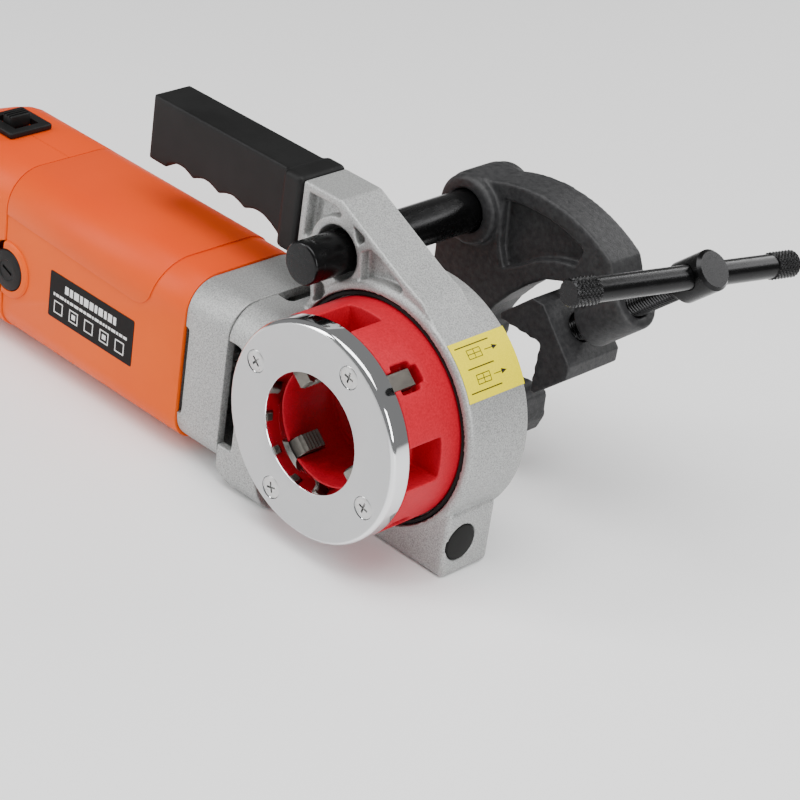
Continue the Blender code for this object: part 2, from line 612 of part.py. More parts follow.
def motor_inside(mats):
    """Stator, its windings, the bearings and the brush gear."""
    bore = circle(25 * MM, 36)
    slab_x("stator_core", [circle(39.8 * MM, 36), bore], -222 * MM, -152 * MM, mats["dark_steel"], MOTOR_Y,
           MOTOR_Z)
    for name, right in (("field_winding_front", -146 * MM), ("field_winding_rear", -222.4 * MM)):
        profile = [(32 * MM, right), (36 * MM, right - 2.8 * MM), (34 * MM, right - 5.6 * MM),
                   (27 * MM, right - 5.6 * MM)]
        turned_x(name, profile, mats["copper"], steps=24)
    bracket_loops = [shell_section(SHELL_WALL + 0.4 * MM), circle(13.2 * MM, 32, (MOTOR_Y, MOTOR_Z))]
    slab_x("bearing_bracket", bracket_loops, -126 * MM, -119 * MM, mats["aluminium"])
    turned_x("motor_bearing_front", ring_profile(12.9 * MM, BORE_R, -119 * MM, -126 * MM), mats["steel"],
             steps=32)
    turned_x("motor_bearing_rear", ring_profile(10.7 * MM, BORE_R, -285 * MM, -292 * MM), mats["steel"],
             steps=32)
    for name, side in (("front", -1), ("rear", 1)):
        wall = SHELL_FRONT if side < 0 else SHELL_BACK
        turn = Matrix.Translation((BRUSH_X, MOTOR_Y,
                                   MOTOR_Z)) @ (Matrix.Identity(4) if side > 0 else Matrix.Rotation(math.pi,
                                                                                                    4, 'Z'))
        reach = abs(wall - MOTOR_Y)
        holder_loops = [rounded_box(-7 * MM, 7 * MM, -9 * MM, 9 * MM, [2 * MM] * 4, 2),
                        rounded_box(-4.4 * MM, 4.4 * MM, -6.4 * MM, 6.4 * MM, [0.5 * MM] * 4, 1)]
        depth = reach - 4 * MM - 17 * MM
        slab(f"brush_holder_{name}", holder_loops, depth,
             turn @ placed(FACING_Y, 0, 17 * MM + depth / 2, 0), mats["brass"])
        block(f"carbon_brush_{name}", -4 * MM, 4 * MM, 14.4 * MM, 32 * MM, -6 * MM, 6 * MM,
              mats["dark_steel"], turn)
        cap = [(0, reach - 3.6 * MM), (13.2 * MM, reach - 3.6 * MM), (13.2 * MM, reach + 1.8 * MM),
               (12.2 * MM, reach + 2.6 * MM), (0, reach + 2.6 * MM)]
        facing = turn @ FACING_Y
        cap_obj = turned(f"brush_cap_{name}", [(r, -h) for r, h in cap], facing, mats["black"], 32)
        slot = block(f"brush_cap_slot_{name}", -4 * MM, 4 * MM, reach + 1.4 * MM, reach + 4 * MM, -0.9 * MM,
                     0.9 * MM, frame=turn)
        cut(cap_obj, slot)


def shell_section(inset=0.0):
    """Cross-section of the motor housing in the YZ plane."""
    high, low = 22 * MM - inset, 18 * MM - inset
    return rounded_box(SHELL_FRONT + inset, SHELL_BACK - inset, SHELL_LOW + inset, SHELL_HIGH - inset,
                       [high, high, low, low], 6)


def motor_housing(mats):
    """Moulded tube around the motor, with a raised ring around each brush cap."""
    tube = slab_x("motor_housing", [shell_section(), shell_section(SHELL_WALL)], HOUSING_LEFT,
                  HOUSING_RIGHT, mats["orange"])
    for name, side in (("front", -1), ("rear", 1)):
        cut_to_boss(tube, name, side)
    half = block("housing_front_of_seam", HOUSING_LEFT, HOUSING_RIGHT + 5 * MM, -80 * MM, 60 * MM, -20 * MM,
                 150 * MM)
    return merge_flat(boolean(tube, half, 'INTERSECT'))


def boss_frame(side):
    turn = Matrix.Identity(4) if side > 0 else Matrix.Rotation(math.pi, 4, 'Z')
    return Matrix.Translation((BRUSH_X, MOTOR_Y, MOTOR_Z)) @ turn @ FACING_Y


def boss_reach(side):
    return abs((SHELL_FRONT if side < 0 else SHELL_BACK) - MOTOR_Y)


def cut_to_boss(tube, name, side):
    reach = boss_reach(side)
    ring = [(0, -reach + 4 * MM), (18 * MM, -reach + 4 * MM), (18 * MM, -reach - 0.8 * MM),
            (17 * MM, -reach - 1.8 * MM),
            (0, -reach - 1.8 * MM)]
    join(tube, turned(f"brush_boss_{name}", ring, boss_frame(side), steps=36))
    hole = [(0, -reach + 15 * MM), (13.5 * MM, -reach + 15 * MM), (13.5 * MM, -reach - 6 * MM),
            (0, -reach - 6 * MM)]
    cut(tube, turned(f"brush_hole_{name}", hole, boss_frame(side), steps=36))


# ---------------------------------------------------------------- rear housing and controls



def handle_outline():
    """The closed D-handle in the XZ plane, with its finger window."""
    outer = mm_points((-340, 105), (-340, 6)) + arc((-493 * MM, 12 * MM), 12 * MM, 270, 180, 4)
    outer += arc((-483 * MM, 78 * MM), 22 * MM, 180, 96, 5) + mm_points((-380, 106))
    window = rounded_box(WINDOW_LEFT, WINDOW_RIGHT, WINDOW_FLOOR, WINDOW_TOP, [14 * MM] * 4, 5)
    return [outer, window]


def rear_shell(name, side, mats):
    """One half of the rear housing and D-handle; side is -1 for the front half, +1 for the rear half."""
    collar = slab_x(name, [shell_section(-MM)], COLLAR_END, HOUSING_LEFT - GAP, mats["orange"])
    start = [(COLLAR_END + 0.5 * MM, y, z) for y, z in shell_section(-MM)]
    end = []
    for y, z in shell_section(0):
        end.append((COLLAR_END - 34 * MM, SHELL_MID_Y + (y - SHELL_MID_Y) * 0.42,
                    DIE_HEIGHT - 16 * MM + (z - DIE_HEIGHT + 16 * MM) * 0.84))
    join(collar, loft(name + "_shoulder", [start, end], Matrix.Identity(4)))
    handle = slab_y(name + "_handle", handle_outline(), SHELL_MID_Y - HANDLE_HALF,
                    SHELL_MID_Y + HANDLE_HALF, z=0)
    join(collar, bevel(handle, 5 * MM))
    room = slab_x(name + "_room", [shell_section(3.5 * MM)], COLLAR_END + 4 * MM, -293 * MM)
    mouth = slab_x(name + "_mouth", [shell_section(3.5 * MM)], -284 * MM, HOUSING_LEFT + 5 * MM)
    seat = turned_x(name + "_seat", rod_profile(11 * MM, -280 * MM, -300 * MM), steps=32)
    switch_room = block(name + "_switch_room", -465 * MM, COLLAR_END + 8 * MM, SHELL_MID_Y - 12 * MM,
                        SHELL_MID_Y + 12 * MM, DIE_HEIGHT - 3 * MM, DIE_HEIGHT + 21 * MM)
    trigger_slot = block(name + "_trigger_slot", -456 * MM, -392 * MM, SHELL_MID_Y - 7.6 * MM,
                         SHELL_MID_Y + 7.6 * MM, WINDOW_TOP - 4 * MM, DIE_HEIGHT)
    cut(collar, room, mouth, seat, switch_room, trigger_slot)
    clearance = boss_frame(side)
    notch = turned(name + "_brush_notch", rod_profile(18.4 * MM, -40 * MM, -60 * MM), clearance, steps=36)
    cut(collar, notch)
    top_slot = block(name + "_top_slot", -338 * MM, -318 * MM, SHELL_MID_Y - 6 * MM, SHELL_MID_Y + 6 * MM,
                     SHELL_HIGH - 8 * MM, SHELL_HIGH + 8 * MM)
    cable_hole = turned_x(name + "_cable_hole", rod_profile(7.3 * MM, -480 * MM, -520 * MM),
                          y=SHELL_MID_Y, z=14 * MM, steps=20)
    pin_seat = turned_y(name + "_pin_seat", rod_profile(2.3 * MM, SHELL_MID_Y - 12 * MM,
                                                        SHELL_MID_Y + 12 * MM),
                        x=TRIGGER_PIVOT[0], z=TRIGGER_PIVOT[1], steps=16)
    cut(collar, top_slot, cable_hole, pin_seat)
    if side < 0:
        cut(collar, turned_y(name + "_lock_hole", rod_profile(4.4 * MM, -60 * MM, -20 * MM), x=LOCK_X,
                             z=LOCK_Z, steps=20))
        keep = block(name + "_keep", -540 * MM, -260 * MM, -90 * MM, SHELL_MID_Y - GAP / 2, -20 * MM,
                     160 * MM)
    else:
        keep = block(name + "_keep", -540 * MM, -260 * MM, SHELL_MID_Y + GAP / 2, 70 * MM, -20 * MM, 160 * MM)
    return merge_flat(boolean(collar, keep, 'INTERSECT'))


def controls(mats):
    high = SHELL_HIGH + MM + GAP
    bezel = block("direction_switch_bezel", -343 * MM, -313 * MM, SHELL_MID_Y - 16 * MM,
                  SHELL_MID_Y + 16 * MM,
                  high, high + 4 * MM, mats["black"])
    bevel(bezel, MM)
    well = block("bezel_well", -338 * MM, -318 * MM, SHELL_MID_Y - 9 * MM, SHELL_MID_Y + 9 * MM, high - MM,
                 high + 6 * MM)
    cut(bezel, well)
    slider = block("direction_slider", -332 * MM, -324 * MM, SHELL_MID_Y - 8 * MM, SHELL_MID_Y + 8 * MM,
                   high + GAP, high + 9 * MM, mats["black"])
    join(slider, block("slider_stem", -330 * MM, -326 * MM, SHELL_MID_Y - 4 * MM, SHELL_MID_Y + 4 * MM,
                       high - 7 * MM, high + 2 * MM))
    for i in range(3):
        x = -331.2 * MM + i * 2.6 * MM
        cut(slider, block(f"slider_groove_{i + 1}", x, x + 1.2 * MM, SHELL_MID_Y - 12 * MM,
                          SHELL_MID_Y + 12 * MM,
                          high + 8 * MM, high + 12 * MM))
    outline = mm_points((-393.6, 4), (-393.6, -7), (-402, -17), (-425, -19), (-448, -17), (-454, -10),
                        (-454, -4.2),
                        (-440, -4.2), (-440, -1.2), (-398, -1.2))
    pivot_x, pivot_z = TRIGGER_PIVOT
    about_pivot = [(x - pivot_x, z + DIE_HEIGHT - pivot_z) for x, z in outline]
    trigger = slab_y("trigger", [about_pivot], SHELL_MID_Y - 7 * MM, SHELL_MID_Y + 7 * MM, mats["black"],
                     x=pivot_x, z=pivot_z)
    trigger_hole = turned_y("trigger_pin_hole", rod_profile(2.3 * MM, SHELL_MID_Y - 15 * MM,
                                                            SHELL_MID_Y + 15 * MM),
                            x=TRIGGER_PIVOT[0], z=TRIGGER_PIVOT[1], steps=16)
    cut(bevel(trigger, 1.2 * MM), trigger_hole)
    turned_y("trigger_pin", rod_profile(2 * MM, SHELL_MID_Y - 11 * MM, SHELL_MID_Y + 11 * MM), mats["steel"],
             x=TRIGGER_PIVOT[0], z=TRIGGER_PIVOT[1], steps=16)
    block("switch_body", -446 * MM, -412 * MM, SHELL_MID_Y - 11 * MM, SHELL_MID_Y + 11 * MM,
          DIE_HEIGHT + 6 * MM, DIE_HEIGHT + 20 * MM, mats["black"])
    turned_y("lock_button", rod_profile(4 * MM, SHELL_MID_Y - HANDLE_HALF - 3.4 * MM, SHELL_MID_Y - 9 * MM,
                                        0.7 * MM),
             mats["black"], x=LOCK_X, z=LOCK_Z, steps=20)
    gland = [(7 * MM, -486 * MM), (7 * MM, HANDLE_END - GAP), (9.5 * MM, HANDLE_END - GAP),
             (9.5 * MM, HANDLE_END - 3 * MM),
             (6.4 * MM, HANDLE_END - 20 * MM), (4 * MM, HANDLE_END - 20 * MM), (4 * MM, -486 * MM)]
    turned_x("cable_gland", gland, mats["rubber"], y=SHELL_MID_Y, z=14 * MM, steps=20)


def top_grip(mats):
    """Moulded side grip with finger scallops, on its steel bolt."""
    first, pitch, depth = -189 * MM, 22 * MM, 3.6 * MM
    low = 68.8 * MM
    outline = mm_points((-91, 107), (-205, 107)) + mm_points((-205, 67), (-190, 66.6))
    for finger in range(4):
        for i in range(5):
            share = i / 4
            if finger and i == 0:
                continue
            x = first + pitch * (finger + share)
            outline.append((x, low + (depth - 0.2 * MM * finger) * math.sin(math.pi * share)))
    outline += mm_points((-96, 66), (-91, 62))
    grip = slab_y("top_grip", [outline], GRIP_MID_Y - 13.5 * MM, GRIP_MID_Y + 13.5 * MM, mats["black"])
    bevel(grip, 1.2 * MM, 1, 65)
    flange = block("grip_flange", FLANGE_LEFT, GRIP_RIGHT, GRIP_MID_Y - 17.5 * MM, GRIP_MID_Y + 17.5 * MM,
                   DIE_HEIGHT + 60 * MM, DIE_HEIGHT + 108 * MM)
    join(grip, bevel(flange, 2.5 * MM))
    bolt_room = turned_x("bolt_room", rod_profile(4.4 * MM, -70 * MM, -186 * MM), y=GRIP_MID_Y,
                         z=GRIP_BOLT_Z, steps=16)
    cut(grip, bolt_room)
    turned_x("grip_bolt", rod_profile(4 * MM, -73 * MM, -185 * MM, 0.6 * MM), mats["steel"],
             y=GRIP_MID_Y, z=GRIP_BOLT_Z, steps=16)


# ---------------------------------------------------------------- support arm and vice

def along_screw(reach, aside):
    """A point of the XZ plane about the die axis, reach along the clamp screw and aside to its left."""
    return (reach * math.cos(SCREW_TILT) - aside * math.sin(SCREW_TILT),
            reach * math.sin(SCREW_TILT) + aside * math.cos(SCREW_TILT))


def vice_outline():
    """The C-shaped frame in the XZ plane, about the die axis; its fixed V faces the clamp screw."""
    outline = mm_points((52, 48), (66, 64), (62, 78)) + arc((0, 0), 104 * MM, 56, 110, 9)
    outline += arc((ROD_X, ROD_Z - DIE_HEIGHT), 22 * MM, 105, 180, 4)
    outline += mm_points((-70, 45), (-69, 20), (-64, -10), (-53, -36), (-36, -53), (-14, -58), (8, -52),
                         (12, -42))
    outline += [along_screw(VEE_HALF - VEE_DEPTH, -VEE_HALF), along_screw(-VEE_DEPTH, 0),
                along_screw(VEE_HALF - VEE_DEPTH, VEE_HALF)]
    outline += mm_points((-19, 24), (-9, 36), (2, 47), (14, 56), (28, 61), (38, 58))
    return outline


def web_pocket_outline():
    """The shallow recess that leaves a rim around the frame's upper web."""
    return arc((0, 0), 93 * MM, 66, 105, 7) + mm_points((-22, 62), (-17, 50), (-6, 56), (6, 65), (20, 71),
                                                        (34, 74))


def vice_frame(mats):
    near, far = VICE_Y - VICE_HALF, VICE_Y + VICE_HALF
    pocket_depth = 6 * MM
    frame = slab_y("vice_frame", [vice_outline()], near, far, mats["cast_iron"])
    bevel(frame, 3 * MM, 1, 35)
    rod_boss = rod_profile(21 * MM, VICE_Y - 20 * MM, VICE_Y + 20 * MM, 2 * MM)
    join(frame, turned_y("rod_boss", rod_boss, x=ROD_X, z=ROD_Z))
    nut_boss = [(0, 96 * MM), (13.5 * MM, 96 * MM), (15 * MM, 94.5 * MM), (15 * MM, 59 * MM), (0, 59 * MM)]
    join(frame, turned("nut_boss", nut_boss, on_screw_axis(), steps=32))
    cut(frame, slab_y("web_pocket_front", [web_pocket_outline()], near - 10 * MM, near + pocket_depth))
    cut(frame, slab_y("web_pocket_back", [web_pocket_outline()], far - pocket_depth, far + 10 * MM))
    rod_socket = rod_profile(ROD_R + GAP, VICE_Y - 40 * MM, VICE_Y + 40 * MM)
    cut(frame, turned_y("rod_socket", rod_socket, x=ROD_X, z=ROD_Z))
    tunnel = [(0, 110 * MM), (SCREW_R + GAP, 110 * MM), (SCREW_R + GAP, 45 * MM), (0, 45 * MM)]
    merge_flat(cut(frame, turned("screw_tunnel", tunnel, on_screw_axis(), steps=24)))


def moving_jaw(mats):
    """The V-shaped jaw the clamp screw pushes; its outline is (aside, reach) from the screw's axis."""
    outline = mm_points((-19, 49), (-25, 43), (-25, 15), (-22, 12.5), (0, 34.5), (22, 12.5), (25, 15),
                        (25, 43),
                        (19, 49))
    upright = Matrix.Rotation(math.radians(90), 4, 'X')
    jaw = slab("moving_jaw", [outline], 44 * MM, on_screw_axis() @ upright, mats["cast_iron"])
    bevel(jaw, 1.5 * MM)
    socket = [(0, 60 * MM), (SCREW_R + GAP, 60 * MM), (SCREW_R + GAP, 40 * MM), (0, 40 * MM)]
    cut(jaw, turned("jaw_socket", socket, on_screw_axis(), steps=32))


def bar_frame():
    """Local Z runs along the tommy bar, from the middle of the screw's head toward the front."""
    centre = Vector((0, VICE_Y, DIE_HEIGHT)) + SCREW_AXIS * BAR_RADIUS_AT
    return Matrix.Translation(centre) @ Matrix.Rotation(BAR_TURN, 4, SCREW_AXIS) @ FACING_Y


def clamp_screw(mats):
    head_far, head_near = BAR_RADIUS_AT + 12 * MM, BAR_RADIUS_AT - 13 * MM
    profile = [(0, head_far), (10 * MM, head_far), (12 * MM, head_far - 2 * MM), (12 * MM, head_near),
               (SCREW_R, head_near - 3 * MM), (SCREW_R, 42 * MM), (SCREW_R - MM, 41 * MM), (0, 41 * MM)]
    screw = turned("clamp_screw", profile, on_screw_axis(), mats["black_steel"], 32)
    cut(screw, turned("bar_hole", rod_profile(BAR_R + GAP, 30 * MM, -30 * MM), bar_frame(), steps=24))


def tommy_bar(mats):
    half, chamfer = BAR_LENGTH / 2, 1.2 * MM
    front_half = [(0, half), (KNURL_R - chamfer, half), (KNURL_R, half - chamfer),
                  (KNURL_R, half - KNURL_LENGTH),
                  (BAR_R, half - KNURL_LENGTH - MM)]
    back_half = [(radius, -reach) for radius, reach in reversed(front_half)]
    middle = Matrix.Translation((0, 0, -BAR_SHIFT))
    turned("tommy_bar", front_half + back_half, bar_frame() @ middle, mats["black_steel"], 24)


def support_parts(mats):
    rod = rod_profile(ROD_R, -45 * MM, 130 * MM, 1.5 * MM)
    turned_y("support_rod", rod, mats["black_steel"], x=ROD_X, z=ROD_Z)
    vice_frame(mats)
    moving_jaw(mats)
    clamp_screw(mats)
    tommy_bar(mats)


# ---------------------------------------------------------------- build

clear_scene()
PARTS = new_collection("pipe_threading_machine")
TOOLS = new_collection("cutters")

MATERIALS = {
    "aluminium": new_material("cast_aluminium", (0.62, 0.63, 0.62), 0.5, 0.8),
    "orange": new_material("orange_plastic", (0.95, 0.20, 0.03), 0.35, 0.0),
    "black": new_material("black_plastic", (0.02, 0.02, 0.02), 0.5, 0.0),
    "rubber": new_material("black_rubber", (0.03, 0.03, 0.03), 0.8, 0.0),
    "red": new_material("red_paint", (0.62, 0.02, 0.03), 0.5, 0.0),
    "chrome": new_material("chromed_steel", (0.80, 0.80, 0.80), 0.15, 1.0),
    "steel": new_material("bright_steel", (0.55, 0.55, 0.56), 0.3, 1.0),
    "dark_steel": new_material("tool_steel", (0.12, 0.11, 0.10), 0.45, 1.0),
    "black_steel": new_material("blackened_steel", (0.03, 0.03, 0.03), 0.25, 0.8),
    "cast_iron": new_material("black_cast_iron", (0.02, 0.02, 0.02), 0.7, 0.3),
    "brass": new_material("brass", (0.70, 0.50, 0.20), 0.35, 1.0),
    "copper": new_material("copper_wire", (0.60, 0.25, 0.10), 0.4, 1.0),
}

head_parts(MATERIALS)
drive_ring(MATERIALS)
die_head(MATERIALS)
cover_plate(MATERIALS)
gear_train(MATERIALS)
gear_case(MATERIALS)
armature(MATERIALS)
motor_inside(MATERIALS)
motor_housing(MATERIALS)
rear_shell("rear_housing_front", -1, MATERIALS)
rear_shell("rear_housing_back", 1, MATERIALS)
controls(MATERIALS)
top_grip(MATERIALS)
support_parts(MATERIALS)
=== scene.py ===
import json
import math
import random

import bmesh
import bpy
from mathutils import Matrix, Vector


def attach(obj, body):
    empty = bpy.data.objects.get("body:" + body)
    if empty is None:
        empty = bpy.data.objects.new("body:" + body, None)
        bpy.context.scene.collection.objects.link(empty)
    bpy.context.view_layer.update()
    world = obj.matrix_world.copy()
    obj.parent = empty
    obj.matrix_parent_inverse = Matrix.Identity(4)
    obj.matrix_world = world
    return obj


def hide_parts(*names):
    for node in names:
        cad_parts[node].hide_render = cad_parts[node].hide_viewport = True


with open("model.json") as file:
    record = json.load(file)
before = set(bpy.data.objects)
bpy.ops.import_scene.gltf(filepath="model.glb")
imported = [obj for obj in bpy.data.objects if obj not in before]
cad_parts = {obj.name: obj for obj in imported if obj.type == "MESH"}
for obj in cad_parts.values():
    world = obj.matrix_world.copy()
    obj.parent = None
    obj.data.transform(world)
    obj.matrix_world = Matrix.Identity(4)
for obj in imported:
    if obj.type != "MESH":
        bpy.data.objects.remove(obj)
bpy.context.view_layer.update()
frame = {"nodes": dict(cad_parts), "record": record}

MM = 0.001

# Driving dimensions of the pipe threader, in metres, in the frame of the model
DIE_HEIGHT = 77 * MM
PIPE_R = 24.15 * MM
DIE_R = 63.7 * MM
RING_R = 73 * MM
RING_FRONT, RING_BACK = -20 * MM, 26 * MM
SEAT_Y = -15 * MM
PLATE_FRONT, PLATE_BACK = -70 * MM, -57.3 * MM
PLATE_HOLE_R = 34.5 * MM
PLATE_SCREW_R = 51.3 * MM
PLATE_SCREW_ANGLE = math.radians(63.3)
CHASER_ANGLE = math.radians(49)
WINDOW_ANGLE = math.radians(4)
SOCKET_FLAT = 35 * MM
MOTOR_Y, MOTOR_Z = -13 * MM, DIE_HEIGHT - 25 * MM
HOUSING_RIGHT, HOUSING_LEFT = -117.3 * MM, -277 * MM
CASE_LEFT, CASE_RIGHT = -117 * MM, -82.3 * MM
SHELL_FRONT, SHELL_BACK = -57.5 * MM, 31.5 * MM
SHELL_LOW, SHELL_HIGH = DIE_HEIGHT - 69.5 * MM, DIE_HEIGHT + 36 * MM
SHELL_MID_Y = (SHELL_FRONT + SHELL_BACK) / 2
SHELL_WALL = 3 * MM
BRUSH_X = -272 * MM
COLLAR_END, SHOULDER_END, HANDLE_END = -345 * MM, -380 * MM, -505 * MM
HANDLE_HALF = 19 * MM
SHELL_SCREWS = [(x * MM, z * MM) for x, z in ((-352, 15), (-352, 92), (-494, 62), (-430, 13))]
ARM_FRONT, ARM_BACK = -18 * MM, 14 * MM
GRIP_RIGHT, FLANGE_LEFT = -76.3 * MM, -92 * MM
GRIP_MID_Y = -1.5 * MM
ROD_X, ROD_Z = -45.3 * MM, DIE_HEIGHT + 76.1 * MM
ROD_R, ROD_HOLE_R, ROD_BOSS_R = 12.5 * MM, 15.7 * MM, 20.5 * MM
FOOT_LEFT, FOOT_RIGHT = -14 * MM, 65.3 * MM
PLUG_Y, PLUG_Z = -7 * MM, 20 * MM
VICE_Y, VICE_HALF = 105 * MM, 13 * MM
SCREW_TILT = math.radians(42)
SCREW_R, SCREW_PITCH = 8 * MM, 2 * MM
BAR_R, BAR_RADIUS_AT, BAR_SHIFT, BAR_LENGTH = 7 * MM, 146 * MM, -12 * MM, 176 * MM
BAR_TURN = math.radians(-9)
KNURL_R, KNURL_LENGTH = 8 * MM, 18 * MM
VEE_DEPTH, VEE_HALF = 34.5 * MM, 25.7 * MM
TRIGGER_PIVOT = (-397.5 * MM, DIE_HEIGHT - 3.6 * MM)
LOCK_X, LOCK_Z = -402 * MM, DIE_HEIGHT + 9 * MM
GLAND_Z = 14 * MM
GAP = 0.3 * MM
QUARTER = math.pi / 2
WELD = 0.002 * MM
INK = 0.08 * MM
FLAT = math.radians(0.2)

# Axes for outlines and profiles: local Z points along -Y, along X, or out along the clamp screw
FACING_Y = Matrix.Rotation(math.radians(90), 4, 'X')
FACING_X = Matrix(((0, 0, 1, 0), (1, 0, 0, 0), (0, 1, 0, 0), (0, 0, 0, 1)))
SCREW_AXIS = Vector((math.cos(SCREW_TILT), 0, math.sin(SCREW_TILT)))
FACING_SCREW = Matrix((
    (-math.sin(SCREW_TILT), 0, math.cos(SCREW_TILT), 0),
    (0, -1, 0, 0),
    (math.cos(SCREW_TILT), 0, math.sin(SCREW_TILT), 0),
    (0, 0, 0, 1),
))


# ------------------------ finishes

class Signal:
    """A value that varies over a surface. Arithmetic on it adds Math nodes."""

    def __init__(self, finish, socket):
        self.finish = finish
        self.socket = socket

    def math(self, operation, *values):
        return self.finish.add('ShaderNodeMath', {"operation": operation}, dict(enumerate(values)))

    def __add__(self, other):
        return self.math('ADD', self, other)

    def __radd__(self, other):
        return self.math('ADD', other, self)

    def __sub__(self, other):
        return self.math('SUBTRACT', self, other)

    def __rsub__(self, other):
        return self.math('SUBTRACT', other, self)

    def __mul__(self, other):
        return self.math('MULTIPLY', self, other)

    def __rmul__(self, other):
        return self.math('MULTIPLY', other, self)

    def __truediv__(self, other):
        return self.math('DIVIDE', self, other)

    def between(self, low, high):
        """0 below low, 1 above high and a straight ramp from one to the other."""
        ramp = (self - low) / (high - low)
        return ramp.math('MINIMUM', ramp.math('MAXIMUM', ramp, 0.0), 1.0)


class Finish:
    """A material: one Principled shader and the nodes that feed it."""

    def __init__(self, name, **constants):
        self.material = bpy.data.materials.new(name)
        self.material.use_nodes = True
        self.tree = self.material.node_tree
        self.shader = self.tree.nodes["Principled BSDF"]
        for socket, value in constants.items():
            self.feed(socket.replace("_", " "), value)

    def add(self, kind, settings=None, sockets=None, output=0):
        node = self.tree.nodes.new(kind)
        for key, value in (settings or {}).items():
            setattr(node, key, value)
        for key, value in (sockets or {}).items():
            self.join(node.inputs[key], value)
        return Signal(self, node.outputs[output])

    def join(self, target, value):
        if isinstance(value, Signal):
            self.tree.links.new(value.socket, target)
        else:
            target.default_value = value

    def feed(self, socket, value):
        self.join(self.shader.inputs[socket], value)
        return self

    def place(self):
        return self.add('ShaderNodeTexCoord', output="Object")

    def axis(self, name):
        return self.add('ShaderNodeSeparateXYZ', None, {0: self.place()}, "XYZ".index(name))

    def stretched(self, x, y, z):
        """Object coordinates scaled along each axis, for grain that runs one way."""
        return self.add('ShaderNodeVectorMath', {"operation": 'MULTIPLY'}, {0: self.place(), 1: (x, y, z)})

    def noise(self, scale, detail=3.0, roughness=0.5, at=None):
        sockets = {"Vector": at or self.place(), "Scale": scale, "Detail": detail, "Roughness": roughness}
        return self.add('ShaderNodeTexNoise', None, sockets)

    def cells(self, scale):
        return self.add('ShaderNodeTexVoronoi', None, {"Vector": self.place(), "Scale": scale})

    def tint(self, share, first, second):
        sockets = {0: share, 6: self.colour(first), 7: self.colour(second)}
        return self.add('ShaderNodeMix', {"data_type": 'RGBA'}, sockets, 2)

    def colour(self, value):
        return value if isinstance(value, Signal) else (*value, 1.0)

    def relief(self, height, depth, strength=1.0):
        sockets = {"Height": height, "Distance": depth, "Strength": strength}
        return self.feed("Normal", self.add('ShaderNodeBump', None, sockets))


def grey(level):
    return (level, level, level)


def cast_aluminium():
    finish = Finish("speckled_cast_aluminium", Metallic=0.55)
    grain = finish.noise(1500, 2.0, 0.6)
    clouds = finish.noise(45, 3.0)
    sparkle = finish.cells(900).between(0.55, 0.25)
    base = finish.tint(grain.between(0.35, 0.65), (0.20, 0.205, 0.20), (0.46, 0.465, 0.46))
    base = finish.tint(sparkle * 0.25, base, (0.75, 0.76, 0.76))
    finish.feed("Base Color", finish.tint(clouds * 0.35, base, (0.40, 0.40, 0.39)))
    finish.feed("Roughness", 0.40 + grain * 0.16 + clouds * 0.06)
    return finish.relief(grain * 0.7 + finish.noise(400) * 0.6, 0.12 * MM)


def orange_plastic():
    finish = Finish("orange_moulded_plastic", Specular_IOR_Level=0.18)
    fine = finish.noise(1800, 2.0)
    clouds = finish.noise(14, 3.0)
    # Painted shade: the orange turns darker and redder towards the top of the shell, standing in for how the
    # light falls on it, not a colour of the plastic
    height = finish.axis("Z").between(DIE_HEIGHT + 5 * MM, SHELL_HIGH)
    base = finish.tint(clouds.between(0.35, 0.7), (0.76, 0.098, 0.0), (0.70, 0.080, 0.0))
    finish.feed("Base Color", finish.tint(height * 0.55, base, (0.66, 0.030, 0.002)))
    finish.feed("Roughness", 0.36 + fine * 0.10 + clouds * 0.05)
    return finish.relief(fine, 0.02 * MM, 0.6)


def black_plastic():
    finish = Finish("black_moulded_plastic", Specular_IOR_Level=0.2)
    fine = finish.noise(1600, 3.0)
    clouds = finish.noise(30, 4.0)
    finish.feed("Base Color", finish.tint(clouds.between(0.35, 0.75), grey(0.004), grey(0.010)))
    finish.feed("Roughness", 0.42 + fine * 0.18)
    return finish.relief(fine, 0.05 * MM, 0.7)


def black_rubber():
    finish = Finish("black_rubber", Specular_IOR_Level=0.2)
    fine = finish.noise(900, 4.0)
    finish.feed("Base Color", finish.tint(fine, (0.006, 0.006, 0.006), (0.016, 0.016, 0.015)))
    finish.feed("Roughness", 0.62 + fine * 0.2)
    return finish.relief(fine, 0.06 * MM)


def red_paint():
    finish = Finish("textured_red_paint", Specular_IOR_Level=0.2)
    pebble = finish.noise(850, 3.0, 0.55)
    clouds = finish.noise(40, 3.0)
    base = finish.tint(pebble.between(0.3, 0.7), (0.40, 0.004, 0.014), (0.56, 0.008, 0.026))
    finish.feed("Base Color", finish.tint(clouds * 0.3, base, (0.34, 0.003, 0.010)))
    finish.feed("Roughness", 0.40 + pebble * 0.2)
    return finish.relief(pebble, 0.14 * MM)


def chrome():
    """Polished on the rim and the bore, faintly turned and scuffed on the flat front."""
    finish = Finish("chromed_steel", Metallic=1.0)
    flat_front = finish.axis("Y").between(PLATE_FRONT + 0.5 * MM, PLATE_FRONT + 0.1 * MM)
    scuffs = finish.noise(260, 5.0, 0.65)
    smudges = finish.noise(38, 3.0)
    finish.feed("Base Color", finish.tint(flat_front, (0.80, 0.81, 0.82), (0.50, 0.505, 0.51)))
    finish.feed("Roughness", 0.05 + flat_front * (0.22 + scuffs * 0.14 + smudges * 0.12))
    return finish.relief(scuffs * flat_front, 0.05 * MM, 0.6)


def turned_steel(name, dark, bright, roughness, metallic=1.0):
    finish = Finish(name, Metallic=metallic)
    marks = finish.noise(420, 3.0, 0.6, finish.stretched(1.0, 0.35, 1.0))
    clouds = finish.noise(70, 3.0)
    finish.feed("Base Color", finish.tint(marks * 0.7 + clouds * 0.3, dark, bright))
    finish.feed("Roughness", roughness + marks * 0.14 + clouds * 0.06)
    return finish.relief(marks, 0.02 * MM, 0.6)


